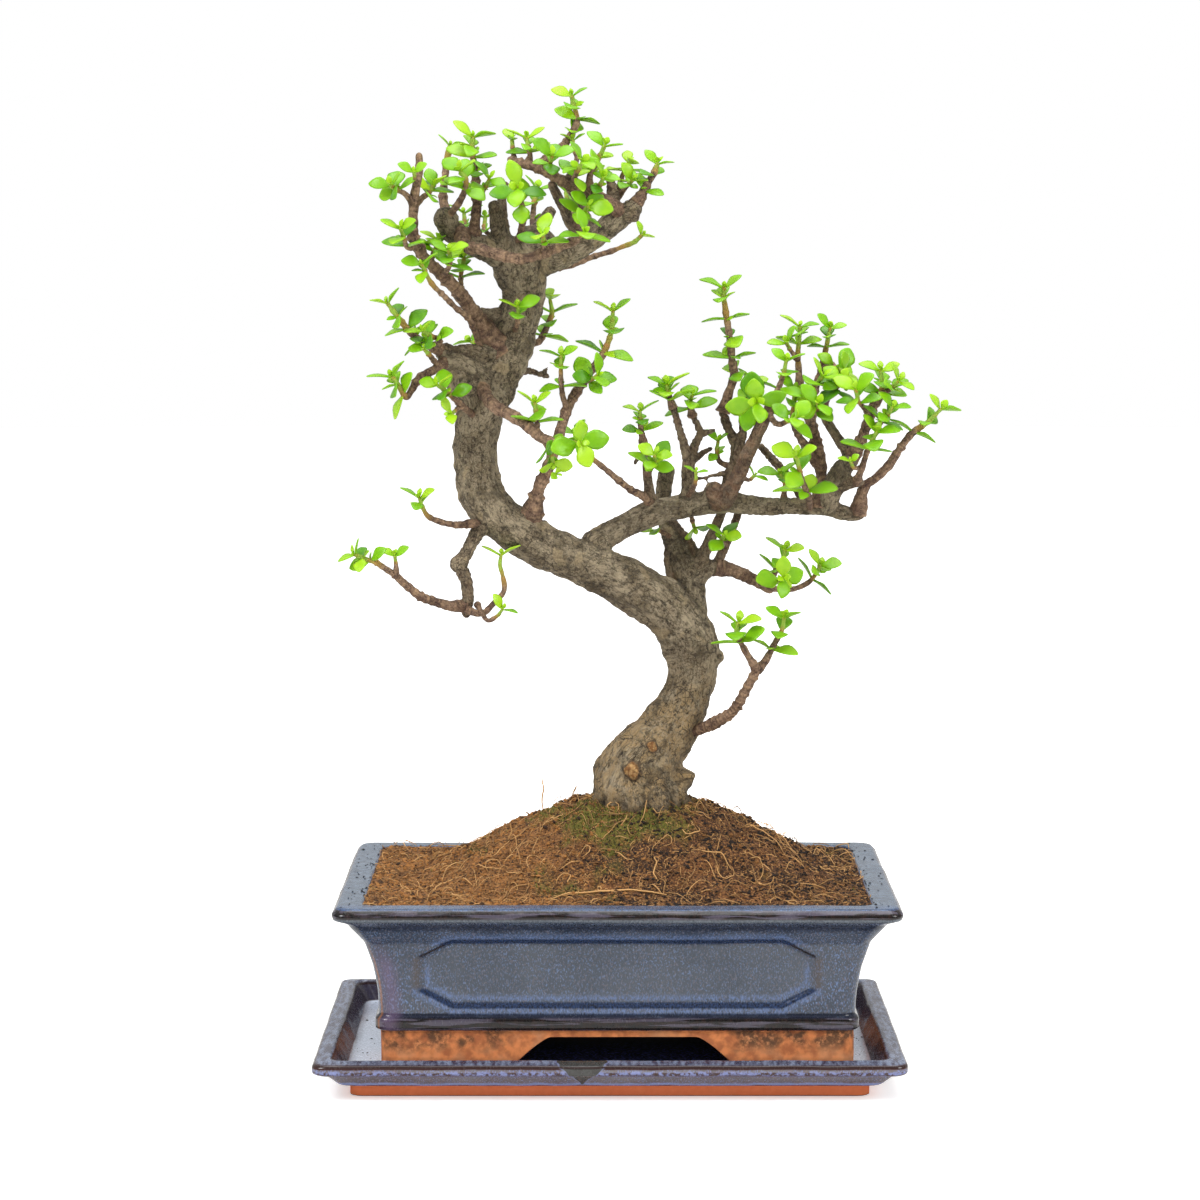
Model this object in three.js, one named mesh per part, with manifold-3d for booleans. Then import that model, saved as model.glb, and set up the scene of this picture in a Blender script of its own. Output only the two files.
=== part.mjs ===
// Potted dwarf jade bonsai: an old twisted tree with thick round leaves, in a glazed
// stoneware pot on a drip tray. Millimetres, +Z up, front towards -Y.
// The origin is the middle of the tray's underside.
import * as THREE from "three";
import { mergeVertices } from "three/addons/utils/BufferGeometryUtils.js";
import Module from "manifold-3d";

const wasm = await Module();
wasm.setup();

// Driving dimensions
const gap = 0.3; // clearance between pieces that touch
const potFloor = 37.5; // height of the pot's inner floor
const potNarrower = 36; // the pot is this much less from front to back, on each side
const trayNarrower = 38;
const trayFloor = 9;
const potShift = 3.5; // the pot stands this much to the right on its tray
const drainHole = { radius: 9, offset: 55 };
const drainMesh = { side: 28, thickness: 1.2, openings: 2, bar: 3 };
const footArch = { top: 25.8, topWidth: 70, bottomWidth: 104, slope: 11.5, shift: 3 };
const sideArch = { top: 25.8, topWidth: 38, bottomWidth: 62, slope: 9, shift: 0 };
const frontPanel = { width: 181, bottom: 40.8, top: 71.8, cutX: 14.5, cutZ: 7.6 };
const sidePanel = { width: 115, bottom: 40.8, top: 71.8, cutX: 13, cutZ: 7.6 };
const panelDepth = 1.5;
const mound = { rise: 41, edge: 88.2, centre: [15.4, 2], fall: 1.5 };
const soilReach = { x: 116, y: 80 }; // from the middle of the pot to its rim
const roots = { count: 5, reach: 46, thick: [18, 14, 5], heights: [92, 84, 62] };
const shootSpacing = 20; // between the bends of a shoot
const leafThickness = 0.12; // of the leaf's length

// Where the reference photograph was taken from. Stems are read off it as a column, a row and a
// depth behind the middle of the pot, so this places each of them in millimetres.
const photo = { centre: 600, focal: 3590, eye: [-4.5, -1700, 390], pitch: 0.0991 };

function fromPhoto([column, row, depth]) {
  const right = (column - photo.centre) / photo.focal;
  const up = (photo.centre - row) / photo.focal;
  const ahead = Math.cos(photo.pitch) + up * Math.sin(photo.pitch);
  const rise = up * Math.cos(photo.pitch) - Math.sin(photo.pitch);
  const reach = (depth - photo.eye[1]) / ahead;
  return new THREE.Vector3(photo.eye[0] + right * reach, depth, photo.eye[2] + rise * reach);
}

// The trunk and the limbs that it grew into. Each has a route of [column, row, depth] and its
// thickness in mm, spread evenly along the route.
const limbs = {
  trunk: {
    route: [
      [638, 890, 3], [639, 862, 3], [639, 830, 3], [638, 800, 3], [640, 775, 3], [651, 753, 4],
      [666, 734, 5], [680, 711, 6], [689, 685, 7], [692, 657, 8], [683, 630, 6], [656, 602, 2],
      [613, 577, -3], [578, 562, -6], [545, 547, -9], [518, 532, -12], [494, 512, -14],
      [481, 494, -14], [477, 468, -12], [477, 436, -10], [481, 408, -8], [487, 388, -4],
      [497, 371, -3], [507, 350, -2], [515, 330, 0], [522, 308, 2], [524, 290, 2], [522, 271, 0],
      [517, 252, -2],
    ],
    thick: [
      48, 50, 49, 45, 41, 33.5, 27, 24, 23, 25.5, 26, 25, 21.5, 20, 20, 21, 21.5, 20.5, 20, 21.4,
      23, 27, 24, 23, 21, 19, 19.5, 25, 26,
    ],
  },
  topRight: {
    route: [
      [520, 272, 0], [545, 262, -3], [570, 251, -6], [592, 239, -9], [612, 224, -12],
      [636, 205, -15],
    ],
    thick: [14, 13, 12, 11, 11, 9],
  },
  topRightStub: {
    route: [[616, 222, -12], [614, 198, -9], [611, 183, -8], [609, 174, -6]],
    thick: [7, 4],
  },
  topRightKnob: { route: [[622, 214, -14], [636, 217, -18]], thick: [8, 6] },
  topLeft: {
    route: [[516, 260, -2], [492, 251, -9], [470, 243, -14], [452, 231, -16], [446, 219, -18]],
    thick: [15, 12, 10.5, 11, 10],
  },
  topLeftStub: { route: [[502, 250, -6], [498, 224, -10], [494, 203, -12]], thick: [9, 8, 6.5] },
  topMiddleStub: {
    route: [[508, 252, 0], [502, 222, 3], [502, 200, 4], [505, 183, 6]],
    thick: [7, 4.4],
  },
  topMiddle: {
    route: [[522, 258, 3], [536, 236, 6], [545, 220, 9], [551, 210, 12]],
    thick: [12, 9, 7, 6],
  },
  innerBack: {
    route: [[592, 238, -7], [588, 220, 9], [580, 203, 15], [568, 188, 20]],
    thick: [6, 3.6],
  },
  innerFront: {
    route: [[590, 242, -10], [573, 227, -16], [562, 205, -21], [551, 183, -24]],
    thick: [7, 4.8],
  },
  leftMiddle: {
    route: [[502, 350, -6], [485, 352, -14], [468, 352, -18], [454, 354, -21], [443, 352, -22]],
    thick: [9, 6.4],
  },
  leftMiddleLow: {
    route: [[486, 388, -9], [470, 374, -16], [457, 364, -21], [445, 361, -24]],
    thick: [16, 8],
  },
  leftStub: { route: [[513, 319, 0], [496, 316, -2], [483, 316, -4]], thick: [9, 6.4] },
  rightStub: {
    route: [[518, 372, 3], [530, 371, 15], [541, 375, 21], [549, 377, 24]],
    thick: [4, 2.6],
  },
  rightStubFork: { route: [[540, 375, 21], [548, 367, 24]], thick: [2.8, 2.4] },
  rightMain: {
    route: [
      [590, 560, -3], [600, 541, -2], [620, 529, 0], [650, 514, 3], [680, 507, 6], [717, 502, 9],
      [757, 506, 10], [800, 506, 9], [828, 509, 8], [848, 514, 6], [862, 514, 6],
    ],
    thick: [13, 12.6, 12, 12, 12, 11, 9.3, 8.2, 7.5, 8, 6],
  },
  secondary: {
    route: [
      [688, 640, 8], [694, 612, 14], [692, 585, 18], [682, 560, 21], [674, 540, 24], [667, 522, 27],
      [663, 505, 30], [664, 487, 30], [668, 468, 30],
    ],
    thick: [14, 13, 12.3, 11.8, 11, 9, 8, 8, 7.5],
  },
  linkRight: {
    route: [[714, 568, 20], [722, 553, 21], [728, 540, 22], [734, 525, 24], [740, 508, 20]],
    thick: [5.4, 4.2],
  },
  linkMiddle: {
    route: [[697, 578, 18], [705, 552, 18], [713, 533, 16], [722, 512, 14]],
    thick: [7, 5],
  },
  linkLeft: {
    route: [[699, 574, 20], [692, 548, 21], [683, 535, 22], [671, 522, 24]],
    thick: [5.6, 4.4],
  },
  linkBase: { route: [[694, 584, 16], [706, 571, 18], [718, 566, 20]], thick: [8.4, 6.8] },
  hangingStub: { route: [[672, 538, 22], [667, 556, 20], [671, 580, 18]], thick: [4, 4] },
  firstUpright: {
    route: [[652, 507, 3], [648, 481, 2], [646, 463, 0], [643, 439, -2]],
    thick: [6, 3.4],
  },
  firstUprightStub: { route: [[646, 458, 0], [640, 456, -3], [634, 464, -4]], thick: [2.8, 2.6] },
  secondUpright: { route: [[687, 508, 6], [688, 480, 4], [688, 458, 3]], thick: [7.4, 6] },
  secondLeft: {
    route: [[688, 462, 3], [683, 441, 0], [678, 424, -2], [672, 404, -3]],
    thick: [5, 3.2],
  },
  secondRight: {
    route: [[688, 462, 3], [695, 445, 6], [700, 434, 8], [696, 422, 8], [691, 412, 8]],
    thick: [5, 3.2],
  },
  secondStub: { route: [[699, 435, 8], [715, 430, 10]], thick: [3.2, 2.8] },
  secondLowStub: { route: [[690, 464, 4], [700, 455, 9], [712, 448, 14]], thick: [4.2, 3] },
  thirdUpright: {
    route: [
      [724, 502, 12], [729, 480, 14], [735, 460, 15], [735, 445, 15], [728, 428, 15],
      [722, 410, 16],
    ],
    thick: [6.6, 4.4],
  },
  thirdFork: { route: [[736, 460, 14], [743, 432, 12], [741, 406, 10]], thick: [5, 4] },
  thirdSideTwig: { route: [[729, 472, 14], [712, 476, 8], [697, 479, 3]], thick: [2.8, 2.2] },
  redUpright: {
    route: [
      [720, 504, 3], [734, 484, -3], [743, 464, -8], [754, 441, -12], [766, 416, -15],
      [772, 402, -16],
    ],
    thick: [9.5, 7.6, 7, 6.8, 6, 5],
  },
  backDiagonal: {
    route: [[806, 506, 10], [795, 486, 22], [778, 465, 27], [760, 446, 30]],
    thick: [5.2, 4],
  },
  rightBurl: {
    route: [[828, 506, 6], [833, 488, 2], [842, 470, 0], [853, 456, 2]],
    thick: [9, 11, 10, 7.5],
  },
  rightBurlStub: { route: [[836, 488, 0], [850, 484, -3], [862, 481, -4]], thick: [7, 5] },
  innerRight: { route: [[853, 458, 3], [840, 441, 6], [830, 426, 9], [822, 411, 12]], thick: [6, 4.2] },
  lowLeft: {
    route: [
      [490, 518, -15], [478, 532, -21], [467, 552, -26], [460, 564, -27], [466, 580, -27],
      [468, 598, -26], [466, 616, -24],
    ],
    thick: [10, 7.6, 6.4, 7, 6, 5.8, 4.4],
  },
};

// Round burls and cut knobs: where they sit and their radius.
const burls = {
  baseLeft: { at: [610, 759, 0], radius: 4.4 },
  baseRight: { at: [682, 779, 2], radius: 5.6 },
  baseScar: { at: [633, 771, -16], radius: 5 },
  cutKnob: { at: [594, 540, -4], radius: 5.4 },
  limbScar: { at: [714, 492, 3], radius: 5.2 },
  whorl: { at: [468, 380, -14], radius: 10.5 },
  whorlLow: { at: [489, 403, -15], radius: 9 },
  leftKnob: { at: [482, 316, -4], radius: 4.2 },
  crownHead: { at: [535, 250, 0], radius: 11.5 },
  topLeftKnob: { at: [447, 219, -18], radius: 6 },
  middleLeftKnob: { at: [444, 352, -22], radius: 4.4 },
  lowKnob: { at: [457, 564, -28], radius: 4 },
  rightKnob: { at: [716, 657, 6], radius: 3.6 },
};

// The leafy branches. A shoot has a route and thickness as a limb has. Its leaves stand in opposite
// pairs, from the share "from" of its route to its tip, each pair turned a quarter turn from the
// last: size in mm, turn of the tip pair out of the picture's plane in degrees. Where they are
// facing, they don't turn to the light but stay square to their stem.
const branches = {
  leafy_branch_top_arch: [
    {
      route: [
        [620, 212, -14], [607, 201, -21], [592, 196, -26], [579, 190, -27], [564, 182, -27],
        [550, 174, -27], [536, 167, -27], [524, 164, -26], [512, 160, -24],
      ],
      thick: [6, 4],
    },
    {
      route: [
        [538, 168, -27], [549, 157, -21], [558, 150, -15], [566, 142, -10], [573, 131, -8],
        [577, 122, -6], [576, 113, -4], [573, 104, -4], [572, 97, -4],
      ],
      thick: [4.4, 2], pairs: 4, from: 0.48, size: 10.5, turn: 0,
    },
    {
      route: [[568, 184, -27], [572, 170, -21], [577, 158, -16], [573, 148, -14], [573, 141, -12]],
      thick: [3.6, 1.8], pairs: 1, from: 1, size: 8.5, turn: 0,
    },
    {
      route: [[592, 196, -26], [590, 176, -30], [598, 160, -33], [604, 147, -34]],
      thick: [3.4, 2], pairs: 3, from: 0.4, size: 12, turn: 20,
    },
    {
      route: [[572, 187, -27], [574, 179, -36], [578, 170, -44], [582, 163, -50]],
      thick: [3, 1.8], pairs: 3, from: 0.4, size: 11.5, turn: 45,
    },
    {
      route: [[596, 198, -26], [599, 187, -36], [603, 179, -44]],
      thick: [2.8, 1.8], pairs: 2, from: 0.55, size: 10.5, turn: 10,
    },
    {
      route: [[549, 174, -27], [550, 165, -34], [552, 157, -40]],
      thick: [2.6, 1.8], pairs: 2, from: 0.55, size: 13, turn: 0,
    },
    {
      route: [[527, 165, -26], [530, 156, -22], [528, 148, -21], [527, 139, -20]],
      thick: [3, 1.8], pairs: 3, from: 0.45, size: 10.5, turn: 10,
    },
    {
      route: [[514, 161, -24], [513, 151, -18], [512, 141, -15]],
      thick: [2.6, 1.8], pairs: 1, from: 1, size: 9, turn: 70,
    },
  ],
  leafy_twig_top_right: [
    {
      route: [[632, 207, -15], [641, 196, -14], [648, 183, -10], [654, 173, -9], [657, 165, -8]],
      thick: [5.4, 2.4], pairs: 3, from: 0.35, size: 11, turn: 20,
    },
  ],
  leafy_twig_top_right_inner: [
    {
      route: [[620, 216, -9], [618, 192, 0], [623, 174, 6], [628, 164, 9]],
      thick: [3.4, 1.8], pairs: 3, from: 0.5, size: 11, turn: 60,
    },
    {
      route: [[619, 198, -2], [627, 186, -8], [632, 181, -12]],
      thick: [2.4, 1.8], pairs: 2, from: 0.6, size: 10, turn: 20,
    },
  ],
  leafy_twig_crown_front: [
    {
      route: [[574, 228, -15], [578, 220, -26], [584, 212, -33], [588, 207, -39]],
      thick: [3, 1.8], pairs: 3, from: 0.5, size: 12, turn: 10,
    },
  ],
  leafy_branch_front_arch: [
    {
      route: [
        [456, 240, -18], [466, 246, -30], [480, 249, -38], [500, 255, -42], [522, 259, -44],
        [540, 254, -44], [558, 248, -44], [574, 241, -44],
      ],
      thick: [6, 4.2],
    },
    {
      route: [[573, 241, -44], [580, 237, -50], [584, 233, -57]],
      thick: [3, 1.8], pairs: 2, from: 0.6, size: 12.5, turn: 70,
    },
    {
      route: [[546, 253, -44], [544, 243, -51], [543, 236, -57]],
      thick: [2.6, 1.8], pairs: 2, from: 0.5, size: 12, turn: 100,
    },
  ],
  leafy_twig_round_leaf: [
    {
      route: [[526, 246, -9], [523, 216, -26], [519, 196, -36], [518, 188, -50]],
      thick: [3.6, 2], pairs: 3, from: 0.5, size: 13.5, turn: 90, facing: true,
    },
  ],
  leafy_twig_left_whorl: [
    {
      route: [
        [474, 244, -14], [475, 222, -14], [477, 202, -12], [476, 184, -12], [474, 164, -12],
        [472, 150, -12], [473, 138, -12],
      ],
      thick: [5.6, 2.2], pairs: 4, from: 0.6, size: 12.5, turn: 5,
    },
    {
      route: [[477, 200, -12], [484, 189, -21], [489, 180, -27]],
      thick: [2.8, 1.8], pairs: 2, from: 0.55, size: 11, turn: 30,
    },
  ],
  leafy_twig_left_knob: [
    {
      route: [[448, 216, -20], [458, 204, -27], [464, 192, -30], [466, 180, -32], [461, 172, -32]],
      thick: [3.6, 2], pairs: 3, from: 0.55, size: 12.5, turn: 40,
    },
  ],
  leafy_twig_left_post: [
    {
      route: [
        [455, 234, -9], [447, 212, 3], [443, 197, 8], [445, 178, 10], [447, 160, 12],
        [450, 147, 12],
      ],
      thick: [5, 2.6], pairs: 2, from: 0.55, size: 8, turn: 0,
    },
  ],
  leafy_twig_crown_back_left: [
    {
      route: [[470, 240, -3], [466, 228, 12], [464, 214, 21]],
      thick: [3, 1.8], pairs: 2, from: 0.55, size: 11, turn: 0,
    },
  ],
  leafy_twig_crown_back: [
    {
      route: [[488, 246, 3], [486, 232, 18], [485, 218, 27]],
      thick: [3, 1.8], pairs: 2, from: 0.5, size: 9.5, turn: 0,
    },
  ],
  leafy_twig_crown_back_middle: [
    {
      route: [[533, 236, 12], [533, 222, 24], [534, 205, 33], [537, 190, 38]],
      thick: [3.6, 1.8], pairs: 3, from: 0.4, size: 10.5, turn: 20,
    },
  ],
  leafy_twig_crown_back_right: [
    {
      route: [[584, 240, 6], [573, 214, 27], [567, 200, 34], [566, 192, 38]],
      thick: [3, 1.8], pairs: 2, from: 0.6, size: 9.5, turn: 30,
    },
  ],
  leafy_twig_right_whisker: [
    {
      route: [
        [530, 272, 9], [549, 269, 21], [571, 265, 28], [595, 256, 33], [609, 252, 34],
        [622, 247, 36], [634, 242, 36], [641, 236, 36],
      ],
      thick: [3.6, 2], pairs: 1, from: 1, size: 8.5, turn: 10,
    },
  ],
  leafy_branch_far_left: [
    {
      route: [
        [492, 338, -4], [478, 320, -14], [468, 305, -20], [455, 288, -26], [439, 272, -30],
        [424, 257, -33], [414, 240, -36], [413, 222, -36], [414, 203, -36], [416, 187, -36],
        [419, 172, -36], [419, 157, -36],
      ],
      thick: [10, 8, 6.6, 6, 5.8, 5.4, 5, 4.8, 4.8, 4.2, 3.6, 3.2],
    },
    {
      route: [[416, 186, -36], [415, 178, -45], [414, 173, -51]],
      thick: [2.4, 1.8], pairs: 1, from: 1, size: 9.5, turn: 0,
    },
    {
      route: [[414, 203, -36], [405, 194, -39], [397, 190, -42], [392, 186, -44]],
      thick: [3, 1.8], pairs: 3, from: 0.6, size: 11, turn: 20,
    },
    {
      route: [[414, 205, -36], [423, 197, -32], [429, 193, -30], [433, 187, -28]],
      thick: [3, 1.8], pairs: 3, from: 0.55, size: 11, turn: 60,
    },
    {
      route: [[418, 250, -34], [408, 247, -42], [404, 238, -46], [401, 230, -50]],
      thick: [3, 1.8], pairs: 3, from: 0.35, size: 11, turn: 30,
    },
    {
      route: [[462, 297, -22], [461, 285, -14], [461, 274, -9], [464, 259, -6]],
      thick: [3, 1.8], pairs: 3, from: 0.55, size: 11, turn: 10,
    },
    {
      route: [[440, 273, -30], [448, 269, -38], [450, 260, -40], [449, 252, -42]],
      thick: [3, 1.8], pairs: 3, from: 0.45, size: 10.5, turn: 20,
    },
    {
      route: [[429, 262, -32], [435, 250, -22], [438, 241, -16]],
      thick: [2.6, 1.8], pairs: 3, from: 0.4, size: 11, turn: 10,
    },
  ],
  leafy_twig_left_thin: [
    {
      route: [
        [484, 336, -15], [470, 321, -27], [456, 308, -34], [445, 297, -39], [432, 284, -44],
        [426, 273, -46], [422, 265, -48],
      ],
      thick: [3, 1.9], pairs: 2, from: 0.86, size: 10, turn: 10,
    },
  ],
  leafy_branch_left_spray: [
    {
      route: [
        [444, 352, -22], [431, 346, -28], [422, 341, -32], [413, 335, -34], [401, 321, -38],
        [388, 304, -39],
      ],
      thick: [4.8, 2], pairs: 5, from: 0.38, size: 11, turn: 5,
    },
    {
      route: [[436, 349, -26], [440, 341, -38], [432, 336, -44], [424, 332, -46]],
      thick: [2.8, 1.8], pairs: 3, from: 0.5, size: 10, turn: 30,
    },
  ],
  leafy_twig_left_drooping: [
    {
      route: [
        [446, 362, -24], [432, 371, -33], [420, 377, -38], [411, 391, -40], [406, 397, -42],
        [399, 386, -44], [393, 378, -44],
      ],
      thick: [4.4, 2], pairs: 3, from: 0.72, size: 12.5, turn: 10,
    },
    {
      route: [[440, 366, -28], [431, 357, -38], [425, 350, -42]],
      thick: [2.8, 1.8], pairs: 1, from: 1, size: 9.5, turn: 40,
    },
  ],
  leafy_twig_left_foreground: [
    {
      route: [[474, 420, -18], [462, 406, -33], [450, 395, -40], [439, 386, -45]],
      thick: [3.6, 1.8], pairs: 3, from: 0.65, size: 11, turn: 20,
    },
    {
      route: [[462, 406, -33], [456, 410, -40], [451, 414, -45]],
      thick: [2.2, 1.6], pairs: 1, from: 1, size: 9.5, turn: 60,
    },
  ],
  leafy_twig_behind_trunk: [
    {
      route: [[496, 346, 6], [482, 343, 21], [472, 342, 28]],
      thick: [3, 1.8], pairs: 2, from: 0.6, size: 10.5, turn: 10,
    },
  ],
  leafy_twig_trunk_front: [
    {
      route: [[515, 334, -8], [517, 325, -21], [518, 316, -26], [518, 308, -27]],
      thick: [2.8, 1.8], pairs: 2, from: 0.72, size: 11.5, turn: 0,
    },
  ],
  leafy_twig_trunk_right: [
    {
      route: [
        [522, 350, 4], [536, 343, 16], [544, 333, 21], [549, 322, 22], [552, 312, 22],
        [550, 300, 22],
      ],
      thick: [3.6, 1.8], pairs: 4, from: 0.35, size: 12, turn: 80,
    },
  ],
  leafy_branch_middle_upright: [
    {
      route: [
        [530, 530, -12], [533, 510, -16], [539, 488, -20], [547, 470, -21], [555, 448, -21],
        [562, 425, -20], [569, 405, -18], [579, 388, -16], [590, 372, -15], [602, 356, -14],
        [611, 333, -12], [613, 312, -12],
      ],
      thick: [10, 8.6, 6.2, 5.4, 5.2, 5, 4.8, 4.6, 4.2, 3.6, 2.4, 1.8],
      pairs: 3, from: 0.83, size: 13, turn: 0,
    },
    {
      route: [[567, 410, -18], [563, 397, -24], [561, 380, -26], [561, 366, -26], [561, 357, -26]],
      thick: [2.8, 1.8], pairs: 3, from: 0.4, size: 11, turn: 0,
    },
    {
      route: [[583, 382, -16], [590, 380, -26], [597, 376, -32]],
      thick: [2.6, 1.8], pairs: 3, from: 0.35, size: 11, turn: 50,
    },
    {
      route: [[546, 472, -21], [551, 474, -28], [556, 474, -33]],
      thick: [2.2, 1.6], pairs: 1, from: 1, size: 8, turn: 90,
    },
  ],
  leafy_branch_front_ringed: [
    {
      route: [
        [480, 398, -21], [492, 404, -33], [513, 416, -45], [529, 427, -51], [542, 438, -54],
        [558, 444, -57],
      ],
      thick: [6.4, 4.4],
    },
    {
      route: [[557, 444, -57], [568, 444, -62], [576, 443, -68], [580, 443, -75]],
      thick: [3.2, 2], pairs: 2, from: 0.75, size: 13.5, turn: 80, facing: true,
    },
    {
      route: [[537, 433, -52], [537, 423, -51], [536, 413, -50], [535, 404, -50]],
      thick: [2.6, 1.8], pairs: 3, from: 0.35, size: 11, turn: 0,
    },
    {
      route: [[543, 438, -54], [547, 447, -52], [551, 454, -51], [553, 462, -50]],
      thick: [2.6, 1.8], pairs: 3, from: 0.35, size: 10.5, turn: 20,
    },
  ],
  leafy_twig_long_thin: [
    {
      route: [
        [657, 506, 0], [643, 496, -6], [631, 490, -8], [616, 478, -9], [604, 468, -9],
        [592, 458, -9], [582, 446, -8], [575, 434, -6],
      ],
      thick: [4, 2], pairs: 3, from: 0.86, size: 10.5, turn: 20,
    },
  ],
  leafy_twig_first_upright: [
    {
      route: [[643, 444, -2], [641, 430, -3], [640, 420, -3], [640, 412, -3]],
      thick: [3, 1.8], pairs: 3, from: 0.3, size: 10.5, turn: 0,
    },
  ],
  leafy_twig_first_side: [
    {
      route: [[647, 474, 0], [653, 465, -10], [655, 456, -16]],
      thick: [2.8, 1.8], pairs: 3, from: 0.4, size: 11.5, turn: 20,
    },
  ],
  leafy_twig_second_left: [
    {
      route: [[673, 408, -3], [669, 396, -4], [667, 386, -4]],
      thick: [3.2, 1.8], pairs: 3, from: 0.3, size: 13, turn: 10,
    },
  ],
  leafy_twig_second_right: [
    {
      route: [[692, 416, 8], [690, 404, 3], [692, 396, -2]],
      thick: [3.2, 1.8], pairs: 3, from: 0.3, size: 14, turn: 0,
    },
  ],
  leafy_twig_tall_shoot: [
    {
      route: [
        [722, 412, 16], [729, 392, 15], [734, 376, 14], [732, 360, 14], [730, 340, 14],
        [727, 320, 14], [724, 299, 14], [724, 289, 14],
      ],
      thick: [4.6, 2.2], pairs: 6, from: 0.3, size: 12.5, turn: 0,
    },
  ],
  leafy_twig_big_leaves: [
    {
      route: [[742, 412, 9], [748, 404, -6], [754, 402, -18], [757, 402, -32]],
      thick: [3.2, 2], pairs: 3, from: 0.5, size: 15, turn: 80, facing: true,
    },
  ],
  leafy_twig_third_fork: [
    {
      route: [[741, 410, 10], [747, 396, 18], [751, 384, 21]],
      thick: [3, 1.8], pairs: 2, from: 0.6, size: 10.5, turn: 10,
    },
  ],
  leafy_twig_third_side: [
    {
      route: [[731, 466, 15], [720, 462, 18], [717, 452, 16], [718, 442, 15]],
      thick: [3, 1.8], pairs: 2, from: 0.6, size: 8.5, turn: 30,
    },
  ],
  leafy_twig_scar_shoot: [
    {
      route: [[696, 500, 0], [695, 484, -12], [696, 473, -15]],
      thick: [2.4, 1.6], pairs: 1, from: 1, size: 8, turn: 20,
    },
  ],
  leafy_twig_red_side: [
    {
      route: [[768, 414, -15], [777, 424, -24], [788, 421, -28], [795, 419, -30]],
      thick: [2.8, 1.8], pairs: 2, from: 0.7, size: 12.5, turn: 80,
    },
  ],
  leafy_twig_red_tip: [
    {
      route: [[771, 405, -16], [777, 392, -14], [783, 376, -10], [786, 362, -9]],
      thick: [3.6, 1.8], pairs: 3, from: 0.4, size: 11.5, turn: 10,
    },
  ],
  leafy_twig_red_back: [
    {
      route: [[741, 474, -4], [748, 480, 4], [754, 476, 10]],
      thick: [2.4, 1.6], pairs: 1, from: 1, size: 7.5, turn: 30,
    },
  ],
  leafy_branch_right_upright: [
    {
      route: [
        [823, 512, 9], [822, 482, 10], [818, 452, 12], [813, 430, 14], [806, 408, 15],
        [801, 392, 16], [798, 360, 18], [799, 340, 18], [800, 328, 18],
      ],
      thick: [7.4, 6.2, 6, 5.6, 5, 4.2, 2.8, 2.2, 1.8], pairs: 3, from: 0.84, size: 11.5, turn: 0,
    },
    {
      route: [[798, 360, 18], [791, 351, 14], [787, 344, 10]],
      thick: [2.4, 1.8], pairs: 1, from: 1, size: 11, turn: 0,
    },
    {
      route: [
        [818, 461, 12], [807, 448, 8], [799, 436, 6], [793, 421, 4], [794, 405, 2], [795, 390, -2],
      ],
      thick: [4.6, 2], pairs: 3, from: 0.68, size: 10.5, turn: 20,
    },
    {
      route: [
        [807, 411, 15], [815, 388, 20], [821, 372, 21], [824, 357, 22], [827, 344, 22],
        [830, 329, 22],
      ],
      thick: [4.6, 1.8], pairs: 3, from: 0.75, size: 10.5, turn: 0,
    },
    {
      route: [[821, 372, 21], [831, 364, 15], [838, 370, 9], [844, 371, 4]],
      thick: [2.8, 1.8], pairs: 3, from: 0.45, size: 11, turn: 30,
    },
    {
      route: [[813, 430, 14], [814, 416, 3], [817, 408, -6], [818, 404, -16]],
      thick: [3, 2], pairs: 3, from: 0.5, size: 13, turn: 45,
    },
    {
      route: [[804, 401, 15], [810, 392, 6], [816, 384, 0], [822, 378, -4]],
      thick: [2.8, 1.8], pairs: 2, from: 0.65, size: 13, turn: 30,
    },
  ],
  leafy_twig_limb_front: [
    {
      route: [[809, 507, 3], [808, 495, -10], [802, 480, -18], [799, 468, -24], [797, 458, -28]],
      thick: [3.4, 2], pairs: 3, from: 0.3, size: 15, turn: 20,
    },
  ],
  leafy_twig_limb_back: [
    {
      route: [[783, 508, 10], [784, 494, 12], [785, 484, 12], [781, 475, 12]],
      thick: [3.2, 1.8], pairs: 2, from: 0.75, size: 11.5, turn: 0,
    },
  ],
  leafy_twig_inner_right: [
    {
      route: [[823, 414, 12], [826, 402, 8], [833, 392, 3], [838, 386, 0], [841, 380, -3]],
      thick: [3.4, 1.8], pairs: 3, from: 0.55, size: 12, turn: 35,
    },
  ],
  leafy_branch_right_outer: [
    {
      route: [
        [852, 458, 0], [861, 440, -3], [868, 422, -4], [873, 407, -6], [880, 397, -6],
        [882, 386, -6], [881, 372, -6],
      ],
      thick: [6, 5.2, 4.8, 4.4, 3.6, 2.4, 1.8], pairs: 3, from: 0.74, size: 12, turn: 0,
    },
    {
      route: [[879, 398, -6], [889, 390, -12], [898, 382, -15]],
      thick: [2.8, 1.8], pairs: 2, from: 0.6, size: 11.5, turn: 20,
    },
    {
      route: [[870, 416, -4], [865, 409, -14], [859, 402, -18], [856, 391, -21]],
      thick: [2.6, 1.8], pairs: 3, from: 0.6, size: 12, turn: 30,
    },
    {
      route: [[867, 426, -4], [878, 424, -14], [886, 417, -18], [892, 408, -21]],
      thick: [2.8, 1.8], pairs: 3, from: 0.45, size: 10.5, turn: 10,
    },
  ],
  leafy_twig_right_burl: [
    {
      route: [[856, 482, -3], [862, 468, -14], [867, 452, -18], [872, 442, -20], [876, 433, -21]],
      thick: [3.6, 2], pairs: 3, from: 0.55, size: 13, turn: 0,
    },
    {
      route: [[861, 470, -12], [854, 468, -21], [851, 462, -26]],
      thick: [2, 1.6], pairs: 1, from: 1, size: 7, turn: 10,
    },
  ],
  leafy_twig_limb_end: [
    {
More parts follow.
